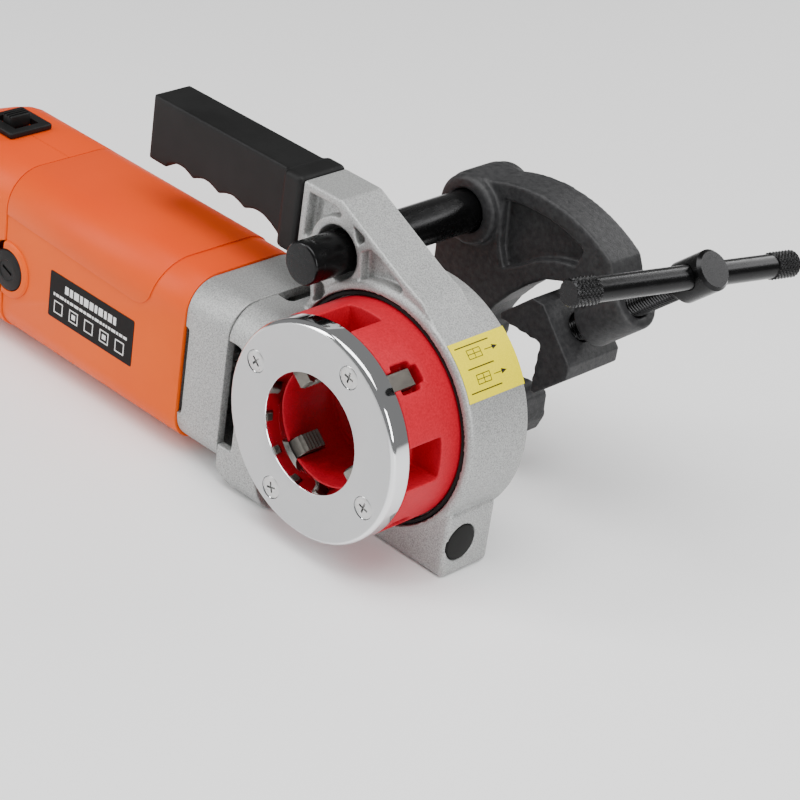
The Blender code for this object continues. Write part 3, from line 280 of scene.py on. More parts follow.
def rough_black_casting():
    finish = Finish("rough_black_casting", Specular_IOR_Level=0.4)
    coarse = finish.noise(330, 4.0, 0.6)
    fine = finish.noise(1300, 3.0, 0.6)
    base = finish.tint(coarse.between(0.3, 0.7), (0.009, 0.009, 0.010), (0.030, 0.030, 0.031))
    finish.feed("Base Color", base)
    finish.feed("Roughness", 0.40 + fine * 0.25)
    return finish.relief(coarse + fine * 0.5, 0.22 * MM)


def copper_windings():
    finish = Finish("varnished_copper", Metallic=0.8)
    strands = finish.noise(700, 3.0, 0.6, finish.stretched(6.0, 1.0, 1.0))
    finish.feed("Base Color", finish.tint(strands, (0.30, 0.09, 0.03), (0.62, 0.24, 0.10)))
    finish.feed("Roughness", 0.3 + strands * 0.2)
    return finish.relief(strands, 0.1 * MM)


def printed_label(name, colour):
    finish = Finish(name, Specular_IOR_Level=0.06)
    fibre = finish.noise(1200, 3.0)
    darker = tuple(channel * 0.86 for channel in colour)
    finish.feed("Base Color", finish.tint(fibre.between(0.3, 0.8), colour, darker))
    finish.feed("Roughness", 0.34 + fibre * 0.1)
    return finish.relief(fibre, 0.01 * MM, 0.5)


def pale_floor():
    finish = Finish("pale_floor", Roughness=0.6)
    clouds = finish.noise(3.0, 3.0)
    return finish.feed("Base Color", finish.tint(clouds, grey(0.93), grey(0.95)))


FINISHES = {
    "cast_aluminium": cast_aluminium(),
    "orange_plastic": orange_plastic(),
    "black_plastic": black_plastic(),
    "black_rubber": black_rubber(),
    "red_paint": red_paint(),
    "chromed_steel": chrome(),
    "bright_steel": turned_steel("machined_steel", grey(0.42), (0.66, 0.66, 0.65), 0.20),
    "tool_steel": turned_steel("dark_tool_steel", (0.10, 0.095, 0.085), (0.24, 0.225, 0.20), 0.30),
    "blackened_steel": turned_steel("blackened_steel", grey(0.012), (0.026, 0.026, 0.027), 0.16, 0.9),
    "black_cast_iron": rough_black_casting(),
    "brass": turned_steel("brass", (0.55, 0.36, 0.12), (0.75, 0.54, 0.24), 0.25),
    "copper_wire": copper_windings(),
}


# ------------------------ shapes

def arc(centre, radius, start, end, steps):
    """Points along an arc, angles in degrees."""
    points = []
    for i in range(steps + 1):
        angle = math.radians(start + (end - start) * i / steps)
        points.append((centre[0] + radius * math.cos(angle), centre[1] + radius * math.sin(angle)))
    return points


def circle(radius, steps=96, centre=(0, 0)):
    return arc(centre, radius, 0, 360 * (steps - 1) / steps, steps - 1)


def rounded_box(x0, x1, y0, y1, radii, steps=12):
    """Rounded rectangle; radii at the corners (x1,y1), (x0,y1), (x0,y0), (x1,y0)."""
    corners = [(x1, y1, 0), (x0, y1, 90), (x0, y0, 180), (x1, y0, 270)]
    points = []
    for (x, y, turn), radius in zip(corners, radii):
        centre_x = x - radius if x == x1 else x + radius
        centre_y = y - radius if y == y1 else y + radius
        points += arc((centre_x, centre_y), radius, turn, turn + 90, steps)
    return points


def polygon(across_flat, sides, turn=0.0):
    radius = across_flat / math.cos(math.pi / sides)
    step = 2 * math.pi / sides
    return [(radius * math.cos(turn + step * i), radius * math.sin(turn + step * i)) for i in range(sides)]


def mm_points(*points, x0=0.0, y0=0.0):
    """Points given in millimetres from (x0, y0), which is in metres."""
    return [(x0 + x * MM, y0 + y * MM) for x, y in points]


def new_object(name, data):
    """Its own place is the origin, so a mesh holds its shape in the model's frame."""
    obj = bpy.data.objects.new(name, data)
    bpy.context.scene.collection.objects.link(obj)
    return obj


def mesh_of(name, bm):
    mesh = bpy.data.meshes.new(name)
    bm.to_mesh(mesh)
    bm.free()
    return mesh


def from_bmesh(name, bm, matrix=Matrix.Identity(4)):
    bmesh.ops.recalc_face_normals(bm, faces=bm.faces)
    mesh = mesh_of(name, bm)
    mesh.transform(matrix)
    return new_object(name, mesh)


def evaluated_mesh(obj):
    bpy.context.view_layer.update()
    evaluated = obj.evaluated_get(bpy.context.evaluated_depsgraph_get())
    return bpy.data.meshes.new_from_object(evaluated)


def settle(obj):
    """Works the modifiers into the mesh."""
    mesh = evaluated_mesh(obj)
    obj.modifiers.clear()
    obj.data = mesh
    return obj


def slab(name, loops, thickness, matrix):
    """Flat outlines, the first outside and the rest holes, given a thickness about local Z = 0."""
    curve = bpy.data.curves.new(name, 'CURVE')
    curve.dimensions = '2D'
    curve.fill_mode = 'BOTH'
    curve.extrude = thickness / 2
    for loop in loops:
        spline = curve.splines.new('POLY')
        spline.points.add(len(loop) - 1)
        for point, (x, y) in zip(spline.points, loop):
            point.co = (x, y, 0, 1)
        spline.use_cyclic_u = True
    guide = new_object(name + "_outline", curve)
    mesh = evaluated_mesh(guide)
    bpy.data.objects.remove(guide, do_unlink=True)
    bm = bmesh.new()
    bm.from_mesh(mesh)
    bmesh.ops.remove_doubles(bm, verts=bm.verts, dist=WELD)
    bmesh.ops.dissolve_limit(bm, angle_limit=FLAT, verts=bm.verts, edges=bm.edges)
    return from_bmesh(name, bm, matrix)


def placed(frame_axes, x=0.0, y=0.0, z=0.0):
    return Matrix.Translation((x, y, z)) @ frame_axes


def slab_y(name, loops, front, back, x=0.0, z=DIE_HEIGHT):
    """An XZ outline about (x, z), from y = front to y = back."""
    return slab(name, loops, back - front, placed(FACING_Y, x, (front + back) / 2, z))


def slab_x(name, loops, left, right, y=0.0, z=0.0):
    """A YZ outline about (y, z), from x = left to x = right."""
    return slab(name, loops, right - left, placed(FACING_X, (left + right) / 2, y, z))


def turned(name, profile, matrix, steps=96):
    """A profile of (radius, height) turned about local Z by a Screw modifier."""
    bm = bmesh.new()
    verts = [bm.verts.new((radius, 0, height)) for radius, height in profile]
    for a, b in zip(verts, verts[1:]):
        bm.edges.new((a, b))
    if profile[0][0] > 0 or profile[-1][0] > 0:
        bm.edges.new((verts[-1], verts[0]))
    obj = new_object(name, mesh_of(name, bm))
    screw = obj.modifiers.new("Turn", 'SCREW')
    screw.steps = steps
    screw.render_steps = steps
    screw.use_merge_vertices = True
    screw.merge_threshold = 0.005 * MM
    screw.use_smooth_shade = False
    merge = obj.modifiers.new("Merge flat ends", 'DECIMATE')
    merge.decimate_type = 'DISSOLVE'
    merge.angle_limit = FLAT
    settle(obj)
    obj.data.transform(matrix)
    return obj


def turned_y(name, profile, x=0.0, z=DIE_HEIGHT, steps=96):
    """Profile of (radius, y), outer side from front to back, about a line along Y."""
    flipped = [(radius, -y) for radius, y in profile]
    return turned(name, flipped, placed(FACING_Y, x, 0, z), steps)


def turned_x(name, profile, y=MOTOR_Y, z=MOTOR_Z, steps=64):
    """Profile of (radius, x), outer side from right to left, about a line along X."""
    return turned(name, profile, placed(FACING_X, 0, y, z), steps)


def rod_profile(radius, near, far, chamfer=0.0):
    if chamfer == 0:
        return [(0, near), (radius, near), (radius, far), (0, far)]
    step = chamfer if far > near else -chamfer
    return [(0, near), (radius - chamfer, near), (radius, near + step),
            (radius, far - step), (radius - chamfer, far), (0, far)]


def block(name, x0, x1, y0, y1, z0, z1, matrix=Matrix.Identity(4)):
    bm = bmesh.new()
    size = Matrix.Diagonal((x1 - x0, y1 - y0, z1 - z0, 1))
    centre = Matrix.Translation(((x0 + x1) / 2, (y0 + y1) / 2, (z0 + z1) / 2))
    bmesh.ops.create_cube(bm, size=1, matrix=centre @ size)
    return from_bmesh(name, bm, matrix)


def even_block(name, x0, x1, half_width, z0, z1):
    """A block that reaches as far to the front as to the back of the shell's middle plane."""
    return block(name, x0, x1, SHELL_MID_Y - half_width, SHELL_MID_Y + half_width, z0, z1)


def loft(name, rings):
    """A closed solid through rings of equally many points (x, y, z)."""
    bm = bmesh.new()
    rows = [[bm.verts.new(point) for point in ring] for ring in rings]
    count = len(rows[0])
    for row, following in zip(rows, rows[1:]):
        for i in range(count):
            j = (i + 1) % count
            bm.faces.new((row[i], row[j], following[j], following[i]))
    bm.faces.new(rows[0])
    bm.faces.new(rows[-1])
    return from_bmesh(name, bm)


def rippled_rod(name, radius_at, bottom, top, rows, sides, matrix):
    """A closed rod about local Z whose radius is a function of angle and height."""
    rings = []
    for row in range(rows + 1):
        height = bottom + (top - bottom) * row / rows
        ring = []
        for i in range(sides):
            angle = 2 * math.pi * i / sides
            radius = radius_at(angle, height)
            ring.append((radius * math.cos(angle), radius * math.sin(angle), height))
        rings.append(ring)
    obj = loft(name, rings)
    obj.data.transform(matrix)
    return obj


def boolean(obj, operation, tools):
    for tool in tools:
        step = obj.modifiers.new(tool.name, 'BOOLEAN')
        step.operation = operation
        step.object = tool
        settle(obj)
        bpy.data.objects.remove(tool, do_unlink=True)
    return obj


def cut(obj, *tools):
    return boolean(obj, 'DIFFERENCE', tools)


def join(obj, *tools):
    return boolean(obj, 'UNION', tools)


def keep_inside(obj, *tools):
    return boolean(obj, 'INTERSECT', tools)


def bevel(obj, width, segments=3, angle=35):
    step = obj.modifiers.new("Bevel", 'BEVEL')
    step.width = width
    step.segments = segments
    step.limit_method = 'ANGLE'
    step.angle_limit = math.radians(angle)
    return settle(obj)


def cast_skin(obj, grain, passes, keep=0.45):
    """Gives a joined solid the softened edges and filled corners of a casting."""
    remesh = obj.modifiers.new("Remesh", 'REMESH')
    remesh.mode = 'VOXEL'
    remesh.voxel_size = grain
    smooth = obj.modifiers.new("Smooth", 'SMOOTH')
    smooth.factor = 0.5
    smooth.iterations = passes
    fewer = obj.modifiers.new("Fewer faces", 'DECIMATE')
    fewer.ratio = keep
    return settle(obj)


def finish_piece(obj, body, slot, nodes=(), look=None, sharp=32):
    """Gives a piece its finish and the body it moves with; it stands for the CAD nodes named."""
    obj.data.materials.clear()
    obj.data.materials.append((look or FINISHES[slot]).material)
    obj.data.shade_smooth()
    obj.data.set_sharp_from_angle(angle=math.radians(sharp))
    if nodes:
        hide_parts(*nodes)
    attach(obj, body)
    return obj


# ------------------------ head

def arm_outline():
    return mm_points((-76, 107), (-76, 70), (-66, 57), (-61.5, 45), (-60, 30), (-30, 30), (20, 40),
                     (36, 62.5), (21, 75), (5, 81.5), (-47, 107))


def arm_pockets():
    boss_z = ROD_Z - DIE_HEIGHT
    upper = mm_points((-71, 102), (-71, 75), (-67.5, 76)) + arc((ROD_X, boss_z), ROD_BOSS_R, 172, 94, 12)
    upper += mm_points((-45, 99), (-50, 102))
    small = mm_points((-36, 97), (-32, 88), (-29.5, 87), (-26, 91), (-26, 93))
    long = mm_points((-27, 84), (-25.5, 67)) + arc((0, 0), 73.4 * MM, 107, 86, 8)
    long += mm_points((6, 76), (0, 80), (-16, 87.5), (-21, 88))
    leg = mm_points((-58.5, 54), (-57, 40), (-55.5, 41.5), (-50, 46), (-48, 51), (-53, 53.5))
    front, floor = ARM_FRONT - 5 * MM, ARM_FRONT + 7 * MM
    named = (("upper", upper), ("small", small), ("long", long), ("leg", leg))
    return [slab_y(name + "_pocket", [outline], front, floor) for name, outline in named]


def gear_block():
    outline = mm_points((-81.7, 45), (-81.7, -66), (-62, -82), (-38, -82), (-50, -60), (-45, -45), (-20, 0),
                        (-30, 45))
    body = slab_y("gear_block", [outline], SHELL_FRONT - 5 * MM, RING_BACK + 5 * MM)
    radii = (12 * MM, 20 * MM, 9 * MM, 6 * MM)
    section = rounded_box(SHELL_FRONT + MM, RING_BACK, 0, SHELL_HIGH - MM, radii)
    keep_inside(body, slab_x("gear_block_section", [section], -95 * MM, -10 * MM))
    cavity = block("gear_block_cavity", -90 * MM, -73 * MM, -51 * MM, 19 * MM, DIE_HEIGHT - 60 * MM,
                   DIE_HEIGHT + 28 * MM)
    return cut(body, cavity)


def head_casting():
    profile = [(0, RING_FRONT)] + mm_points((-2.5, 0), (-0.7, 0.8), (0, 2.5), x0=RING_R, y0=RING_FRONT)
    profile += mm_points((0, -1), (-1, 0), x0=RING_R, y0=RING_BACK) + [(0, RING_BACK)]
    casting = turned_y("head_casting_skin", profile, steps=128)
    foot = block("foot", FOOT_LEFT, FOOT_RIGHT, RING_FRONT + 0.5 * MM, 18 * MM, 0, DIE_HEIGHT - 36 * MM)
    arm = slab_y("head_arm", [arm_outline()], ARM_FRONT, ARM_BACK)
    join(casting, bevel(foot, 3 * MM), gear_block(), bevel(arm, 1.2 * MM))
    mouth_r = DIE_R + 3.8 * MM
    bore = [(0, -80 * MM), (mouth_r, -80 * MM), (mouth_r, SEAT_Y), (56.3 * MM, SEAT_Y)]
    bore += mm_points((56.3, -1), (60.5, -1), (60.5, 20), (67.9, 20), (67.9, 35), (0, 35))
    cut(casting, turned_y("head_bore", bore, steps=128), *arm_pockets())
    cut(casting, turned_y("rod_hole", rod_profile(ROD_HOLE_R, ARM_FRONT - 5 * MM, ARM_BACK + 5 * MM),
                          ROD_X, ROD_Z))
    front_vent = block("front_vent", -83 * MM, -70.5 * MM, -60 * MM, -43 * MM, DIE_HEIGHT - 52 * MM,
                       DIE_HEIGHT + 15 * MM)
    top_vent = block("top_vent", -83 * MM, -70.5 * MM, -22 * MM, 8 * MM, DIE_HEIGHT + 22 * MM,
                     DIE_HEIGHT + 40 * MM)
    plug_hole = turned_x("plug_hole", rod_profile(11.3 * MM, 70 * MM, 59 * MM), y=PLUG_Y, z=PLUG_Z)
    cut(casting, bevel(front_vent, 3 * MM), bevel(top_vent, 3 * MM), plug_hole)
    cast_skin(casting, 0.8 * MM, 3)
    return finish_piece(casting, "machine", "cast_aluminium", ["head_casting"], sharp=60)


def shell_outline(inset, radii):
    near, far = SHELL_FRONT + inset, SHELL_BACK - inset
    return rounded_box(near, far, SHELL_LOW + inset, SHELL_HIGH - inset, radii)


def case_section(inset=0.0, radius=20 * MM):
    corner = max(radius - inset, 2 * MM)
    return shell_outline(inset, [corner] * 4)


def gear_case():
    tube = slab_x("gear_case_skin", [case_section(MM), case_section(7 * MM)], CASE_LEFT, CASE_RIGHT)
    bevel(tube, 0.8 * MM)
    outlet = block("air_outlet", -120 * MM, -113.3 * MM, -65 * MM, -50 * MM, DIE_HEIGHT - 48 * MM,
                   DIE_HEIGHT + 8 * MM)
    cut(tube, bevel(outlet, 2 * MM))
    return finish_piece(tube, "machine", "cast_aluminium", ["gear_case"])


def small_head_parts():
    plug = mm_points((0, 65.9), (9, 65.7), (10.4, 65.2), (11, 64.2), (11, 59.4), (0, 59.4))
    plug = turned_x("foot_plug_cap", plug, PLUG_Y, PLUG_Z)
    finish_piece(plug, "machine", "black_rubber", ["foot_plug"])
    seal = mm_points((65, -19), (66.6, -18.6), (67.2, -17.5))
    seal += [(67.2 * MM, SEAT_Y - GAP), (64.3 * MM, SEAT_Y - GAP), (64.3 * MM, -18.4 * MM)]
    finish_piece(turned_y("front_seal_ring", seal), "machine", "black_rubber", ["front_seal"])


# ------------------------ motor body and rear handle

def shell_section(inset=0.0):
    high, low = 22 * MM - inset, 18 * MM - inset
    return shell_outline(inset, [high, high, low, low])


def boss_frame(side):
    """On the brushes' centre line; local Z points inward from the front (-1) or the back (1) wall."""
    turn = Matrix.Identity(4) if side > 0 else Matrix.Rotation(math.pi, 4, 'Z')
    return Matrix.Translation((BRUSH_X, MOTOR_Y, MOTOR_Z)) @ turn @ FACING_Y


def boss_reach(side):
    return abs((SHELL_FRONT if side < 0 else SHELL_BACK) - MOTOR_Y)


def saddle_outline():
    """The raised upper panel in the XZ plane; its end toward the gear case has a rounded lower corner."""
    right, low, radius = -146 * MM, DIE_HEIGHT + 5 * MM, 14 * MM
    points = [(-300 * MM, 150 * MM), (-300 * MM, low + 6 * MM)]
    points += arc((right - radius, low + radius), radius, 270, 350, 8)
    return points + [(right + 14 * MM, 150 * MM)]


def motor_housing():
    walls = [shell_section(), shell_section(SHELL_WALL)]
    tube = bevel(slab_x("motor_housing_skin", walls, HOUSING_LEFT, HOUSING_RIGHT), 0.5 * MM, 2)
    raised = [shell_section(-0.9 * MM), shell_section(SHELL_WALL / 2)]
    saddle = slab_x("saddle", raised, HOUSING_LEFT + 0.5 * MM, -120 * MM)
    keep_inside(saddle, slab_y("saddle_shape", [saddle_outline()], -90 * MM, 70 * MM, z=0))
    join(tube, bevel(saddle, 0.6 * MM, 2))
    for name, side in (("front", -1), ("rear", 1)):
        reach = boss_reach(side)
        ring = mm_points((0, 4), (18, 4), (18, -0.6), (17.4, -1.4), (16.4, -1.8), (0, -1.8), y0=-reach)
        join(tube, turned("brush_boss_" + name, ring, boss_frame(side)))
        hole = mm_points((0, 15), (13.5, 15), (13.5, -6), (0, -6), y0=-reach)
        cut(tube, turned("brush_hole_" + name, hole, boss_frame(side)))
    span = block("housing_span", HOUSING_LEFT, HOUSING_RIGHT + 5 * MM, -80 * MM, 60 * MM, -20 * MM, 150 * MM)
    keep_inside(tube, span)
    return finish_piece(tube, "machine", "orange_plastic", ["motor_housing"])


def brush_caps():
    for name, side in (("front", -1), ("rear", 1)):
        reach = boss_reach(side)
        profile = mm_points((0, 3.6), (13.2, 3.6), (13.2, -1.2), (12.6, -2.2), (11.6, -2.6), (7, -2.6),
                            (6.4, -2.1), (0, -2), y0=-reach)
        cap = turned("brush_cap_moulding_" + name, profile, boss_frame(side), 64)
        slot = block("cap_slot", -4.5 * MM, 4.5 * MM, -0.9 * MM, 0.9 * MM, -reach - 5 * MM, -reach - 1 * MM,
                     boss_frame(side) @ Matrix.Rotation(math.radians(20), 4, 'Z'))
        finish_piece(cut(cap, slot), "machine", "black_plastic", ["brush_cap_" + name])


def handle_outline():
    outer = mm_points((-340, 105), (-340, 6)) + arc((-493 * MM, 12 * MM), 12 * MM, 270, 180, 8)
    outer += arc((-483 * MM, 78 * MM), 22 * MM, 180, 96, 10) + mm_points((-380, 106))
    window = rounded_box(-480 * MM, -382 * MM, 26 * MM, DIE_HEIGHT - 9 * MM, [14 * MM] * 4)
    return [outer, window]


def shoulder(name):
    """Eases from the collar's section down to the narrow handle."""
    narrowing, lowering, length = 0.58, 0.16, 34.5 * MM
    pivot = DIE_HEIGHT - 16 * MM
    rings = []
    for share in (0.0, 0.15, 0.35, 0.55, 0.75, 0.9, 1.0):
        ease = share * share * (3 - 2 * share)
        width, height = 1 - narrowing * ease, 1 - lowering * ease
        x = COLLAR_END + 0.5 * MM - length * share
        rings.append([(x, SHELL_MID_Y + (y - SHELL_MID_Y) * width, pivot + (z - pivot) * height)
                      for y, z in shell_section(-MM * (1 - ease))])
    return loft("shoulder_" + name, rings)


def rear_shell(name, side):
    half = slab_x("rear_shell_" + name, [shell_section(-MM)], COLLAR_END, HOUSING_LEFT - GAP)
    bevel(half, 0.6 * MM, 2)
    handle_front, handle_back = SHELL_MID_Y - HANDLE_HALF, SHELL_MID_Y + HANDLE_HALF
    handle = slab_y("handle_" + name, handle_outline(), handle_front, handle_back, z=0)
    join(half, shoulder(name), bevel(handle, 6 * MM, 4))
    room = slab_x("room", [shell_section(3.5 * MM)], COLLAR_END + 4 * MM, HOUSING_LEFT + 5 * MM)
    switch_room = even_block("switch_room", -465 * MM, COLLAR_END + 8 * MM, 12 * MM, DIE_HEIGHT - 3 * MM,
                             DIE_HEIGHT + 21 * MM)
    trigger_slot = even_block("trigger_slot", -456 * MM, -392 * MM, 7.6 * MM, DIE_HEIGHT - 13 * MM,
                              DIE_HEIGHT)
    notch = turned("brush_notch", rod_profile(18.4 * MM, -40 * MM, -60 * MM), boss_frame(side))
    top_slot = even_block("top_slot", -338 * MM, -318 * MM, 6 * MM, SHELL_HIGH - 8 * MM, SHELL_HIGH + 8 * MM)
    cable_hole = turned_x("cable_hole", rod_profile(7.3 * MM, -480 * MM, -520 * MM), SHELL_MID_Y, GLAND_Z)
    cut(half, room, switch_room, trigger_slot, notch, top_slot, cable_hole)
    if side < 0:
        cut(half, turned_y("lock_hole", rod_profile(4.4 * MM, -60 * MM, -20 * MM), LOCK_X, LOCK_Z, 32))
        near, far = -90 * MM, SHELL_MID_Y - GAP / 2
    else:
        near, far = SHELL_MID_Y + GAP / 2, 70 * MM
    keep_inside(half, block("one_side", -540 * MM, -260 * MM, near, far, -20 * MM, 160 * MM))
    for i, (x, z) in enumerate(SHELL_SCREWS):
        in_handle = x < SHOULDER_END
        wall = SHELL_MID_Y + side * (HANDLE_HALF if in_handle else 40 * MM)
        near, far = sorted((wall - side * 5 * MM, wall + side * 12 * MM))
        cut(half, turned_y("screw_well", rod_profile(4.2 * MM, near, far), x, z, 32))
        if in_handle and side < 0:
            head_axes = placed(FACING_Y, x, wall + 3.6 * MM, z)
            screw = cross_head("handle_screw_{}_{}".format(name, i + 1), 3.6 * MM, 1.4 * MM, head_axes)
            finish_piece(screw, "machine", "bright_steel")
    return finish_piece(half, "machine", "orange_plastic", ["rear_housing_" + name])


def cross_head(name, radius, height, matrix):
    """A pan or countersunk screw head with a cross recess; it faces local +Z."""
    profile = [(0, height), (radius * 0.86, height), (radius, height * 0.72), (radius, 0), (0, 0)]
    head = turned(name, profile, Matrix.Identity(4), 40)
    for turn in (0, 90):
        arm = block("cross", -radius * 0.52, radius * 0.52, -radius * 0.11, radius * 0.11, height * 0.25,
                    height * 2, Matrix.Rotation(math.radians(turn), 4, 'Z'))
        cut(head, arm)
    head.data.transform(matrix)
    return head


def controls():
    high = SHELL_HIGH + MM + GAP
    bezel = bevel(even_block("switch_bezel", -343 * MM, -313 * MM, 16 * MM, high, high + 4 * MM), 1.2 * MM)
    cut(bezel, even_block("bezel_well", -338 * MM, -318 * MM, 9 * MM, high - MM, high + 6 * MM))
    finish_piece(bezel, "machine", "black_plastic", ["direction_switch_bezel"])
    slider = even_block("switch_slider", -332 * MM, -324 * MM, 8 * MM, high + GAP, high + 9 * MM)
    bevel(slider, 1.2 * MM)
    for i in range(3):
        x = -331 * MM + i * 2.4 * MM
        cut(slider, even_block("slider_groove", x, x + 1.1 * MM, 12 * MM, high + 8 * MM, high + 12 * MM))
    join(slider, even_block("slider_stem", -330 * MM, -326 * MM, 4 * MM, high - 7 * MM, high + 2 * MM))
    finish_piece(slider, "selector", "black_plastic", ["direction_slider"])
    outline = mm_points((-393.6, 4), (-393.6, -7)) + arc((-424 * MM, 80 * MM), 99 * MM, 283, 257, 10)
    outline += mm_points((-454, -10), (-454, -4.2), (-440, -4.2), (-440, -1.2), (-398, -1.2))
    trigger = slab_y("trigger_moulding", [outline], SHELL_MID_Y - 7 * MM, SHELL_MID_Y + 7 * MM)
    bevel(trigger, 1.6 * MM)
    hole = turned_y("trigger_pin_hole", rod_profile(2.3 * MM, SHELL_MID_Y - 15 * MM, SHELL_MID_Y + 15 * MM),
                    *TRIGGER_PIVOT, 24)
    finish_piece(cut(trigger, hole), "trigger_group", "black_plastic", ["trigger"])


def cable_gland():
    """A ribbed sleeve that narrows toward its end."""
    collar = HANDLE_END - GAP
    profile = [(7 * MM, -486 * MM), (7 * MM, collar), (9.5 * MM, collar), (9.5 * MM, -508 * MM)]
    for i in range(4):
        x = -510 * MM - i * 3.6 * MM
        groove_r = 6.6 * MM - i * 0.5 * MM
        profile += [(8.6 * MM - i * 0.6 * MM, x), (groove_r, x - 0.8 * MM), (groove_r, x - 2 * MM)]
    profile += mm_points((6.2, -525), (4, -525), (4, -486))
    gland = turned_x("cable_gland_sleeve", profile, SHELL_MID_Y, GLAND_Z, 48)
    finish_piece(gland, "machine", "black_rubber", ["cable_gland"])


def top_grip():
    first, pitch, depth, low = -189 * MM, 22 * MM, 3.6 * MM, 68.8 * MM
    outline = mm_points((-91, 107), (-205, 107), (-205, 67), (-190, 66.6))
    for finger in range(4):
        for i in range(13):
            share = i / 12
            if finger and i == 0:
                continue
            x = first + pitch * (finger + share)
            outline.append((x, low + (depth - 0.2 * MM * finger) * math.sin(math.pi * share)))
    outline += mm_points((-96, 66), (-91, 62))
    grip = slab_y("top_grip_moulding", [outline], GRIP_MID_Y - 13.5 * MM, GRIP_MID_Y + 13.5 * MM)
    flange = block("grip_flange", FLANGE_LEFT, GRIP_RIGHT, GRIP_MID_Y - 17.5 * MM, GRIP_MID_Y + 17.5 * MM,
                   DIE_HEIGHT + 60 * MM, DIE_HEIGHT + 108 * MM)
    join(grip, bevel(flange, 3 * MM))
    cast_skin(grip, 0.8 * MM, 8, 0.5)
    return finish_piece(grip, "machine", "black_plastic", ["top_grip"], sharp=70)


# ------------------------ die

def around_die(angle):
    """Local X points out from the die axis at this angle."""
    return Matrix.Translation((0, 0, DIE_HEIGHT)) @ Matrix.Rotation(-angle, 4, 'Y')


def die_body():
    back = SEAT_Y - 0.6 * MM
    drum_bore, drive_bore = circle(34 * MM), circle(31 * MM)
    drum = slab_y("die_body_skin", [circle(DIE_R, 128), drum_bore], PLATE_BACK + GAP, back)
    octagon = polygon(SOCKET_FLAT, 8, math.radians(22.5))
    drive = slab_y("die_drive", [octagon, drive_bore], back - 3 * MM, 10 * MM)
    floor = slab_y("die_floor", [circle(40 * MM), drive_bore], back - 3.4 * MM, back - 0.3 * MM)
    join(drum, floor, drive)
    for i in range(4):
        at_chaser = around_die(CHASER_ANGLE + i * QUARTER)
        at_window = around_die(WINDOW_ANGLE + i * QUARTER)
        cut(drum, block("slot", 20 * MM, 70 * MM, -60 * MM, -35 * MM, -5.3 * MM, 5.3 * MM, at_chaser),
            block("slot_head", 55 * MM, 70 * MM, -53 * MM, -39 * MM, -8.5 * MM, 8.5 * MM, at_chaser),
            block("chip_window", 42 * MM, 80 * MM, -60 * MM, -33 * MM, -12.5 * MM, 12.5 * MM, at_window))
    cast_skin(drum, 0.7 * MM, 4)
    return finish_piece(drum, "die", "red_paint", ["die_body"], sharp=60)


def chasers():
    """Thread-cutting combs; their teeth point at the pipe."""
    tooth = 2.3 * MM
    for i in range(4):
        outline = mm_points((60.5, -56.4), (60.5, -39), (PIPE_R / MM + 4, -39))
        for j in range(6):
            y = -41 * MM - j * tooth
            outline += [(PIPE_R + 1.9 * MM, y), (PIPE_R + 0.5 * MM, y - tooth / 2)]
        outline.append((PIPE_R + 1.9 * MM, -56.4 * MM))
        at_chaser = around_die(CHASER_ANGLE + i * QUARTER)
        comb = slab("chaser_comb_{}".format(i + 1), [outline], 10 * MM, at_chaser)
        bevel(comb, 0.25 * MM, 1)
        finish_piece(comb, "die", "tool_steel", ["chaser_{}".format(i + 1)])


def plate_screw_place(index):
    angle = PLATE_SCREW_ANGLE + index * QUARTER
    return PLATE_SCREW_R * math.cos(angle), DIE_HEIGHT + PLATE_SCREW_R * math.sin(angle)


def cover_plate():
    rim_r, rounding = 60.3 * MM, 3.4 * MM
    profile = [(rim_r, PLATE_FRONT)] + arc((rim_r, PLATE_FRONT + rounding), rounding, -90, 0, 10)[1:]
    profile += mm_points((0, -0.6), (-0.6, 0), x0=DIE_R, y0=PLATE_BACK) + [(PLATE_HOLE_R, PLATE_BACK)]
    profile += mm_points((0, 0.8), (0.3, 0.25), (0.9, 0), x0=PLATE_HOLE_R, y0=PLATE_FRONT)
    plate = turned_y("cover_plate_chrome", profile, steps=160)
    for i in range(4):
        x, z = plate_screw_place(i)
        hole = mm_points((0, -1), (6.8, -1), (6.8, 0.6), (3.4, 4), y0=PLATE_FRONT)
        hole += mm_points((3.4, 1), (0, 1), y0=PLATE_BACK)
        cut(plate, turned_y("plate_screw_hole", hole, x=x, z=z, steps=48))
    finish_piece(plate, "die", "chromed_steel", ["cover_plate"])
    for i in range(4):
        x, z = plate_screw_place(i)
        profile = mm_points((0, 0.15), (5.9, 0.2), (6.4, 0.5), (6.4, 0.8), (3, 4), y0=PLATE_FRONT)
        profile += mm_points((3, -0.4), (0, -0.4), y0=PLATE_BACK)
        screw = turned_y("plate_screw_head_{}".format(i + 1), profile, x=x, z=z, steps=48)
        for turn in (12, 102):
            spin = Matrix.Rotation(math.radians(turn + 31 * i), 4, 'Y')
            cut(screw, block("cross", -3.3 * MM, 3.3 * MM, PLATE_FRONT - MM, PLATE_FRONT + 1.9 * MM,
                             -0.65 * MM, 0.65 * MM, Matrix.Translation((x, 0, z)) @ spin))
        finish_piece(screw, "die", "bright_steel", ["plate_screw_{}".format(i + 1)])


# ------------------------ support arm

def on_screw_axis():
    return Matrix.Translation((0, VICE_Y, DIE_HEIGHT)) @ FACING_SCREW


def along_screw(reach, aside):
    """A point of the XZ plane about the die axis, reach along the clamp screw and aside to its left."""
    return (reach * math.cos(SCREW_TILT) - aside * math.sin(SCREW_TILT),
            reach * math.sin(SCREW_TILT) + aside * math.cos(SCREW_TILT))


def bar_frame():
    centre = Vector((0, VICE_Y, DIE_HEIGHT)) + SCREW_AXIS * BAR_RADIUS_AT
    return Matrix.Translation(centre) @ Matrix.Rotation(BAR_TURN, 4, SCREW_AXIS) @ FACING_Y


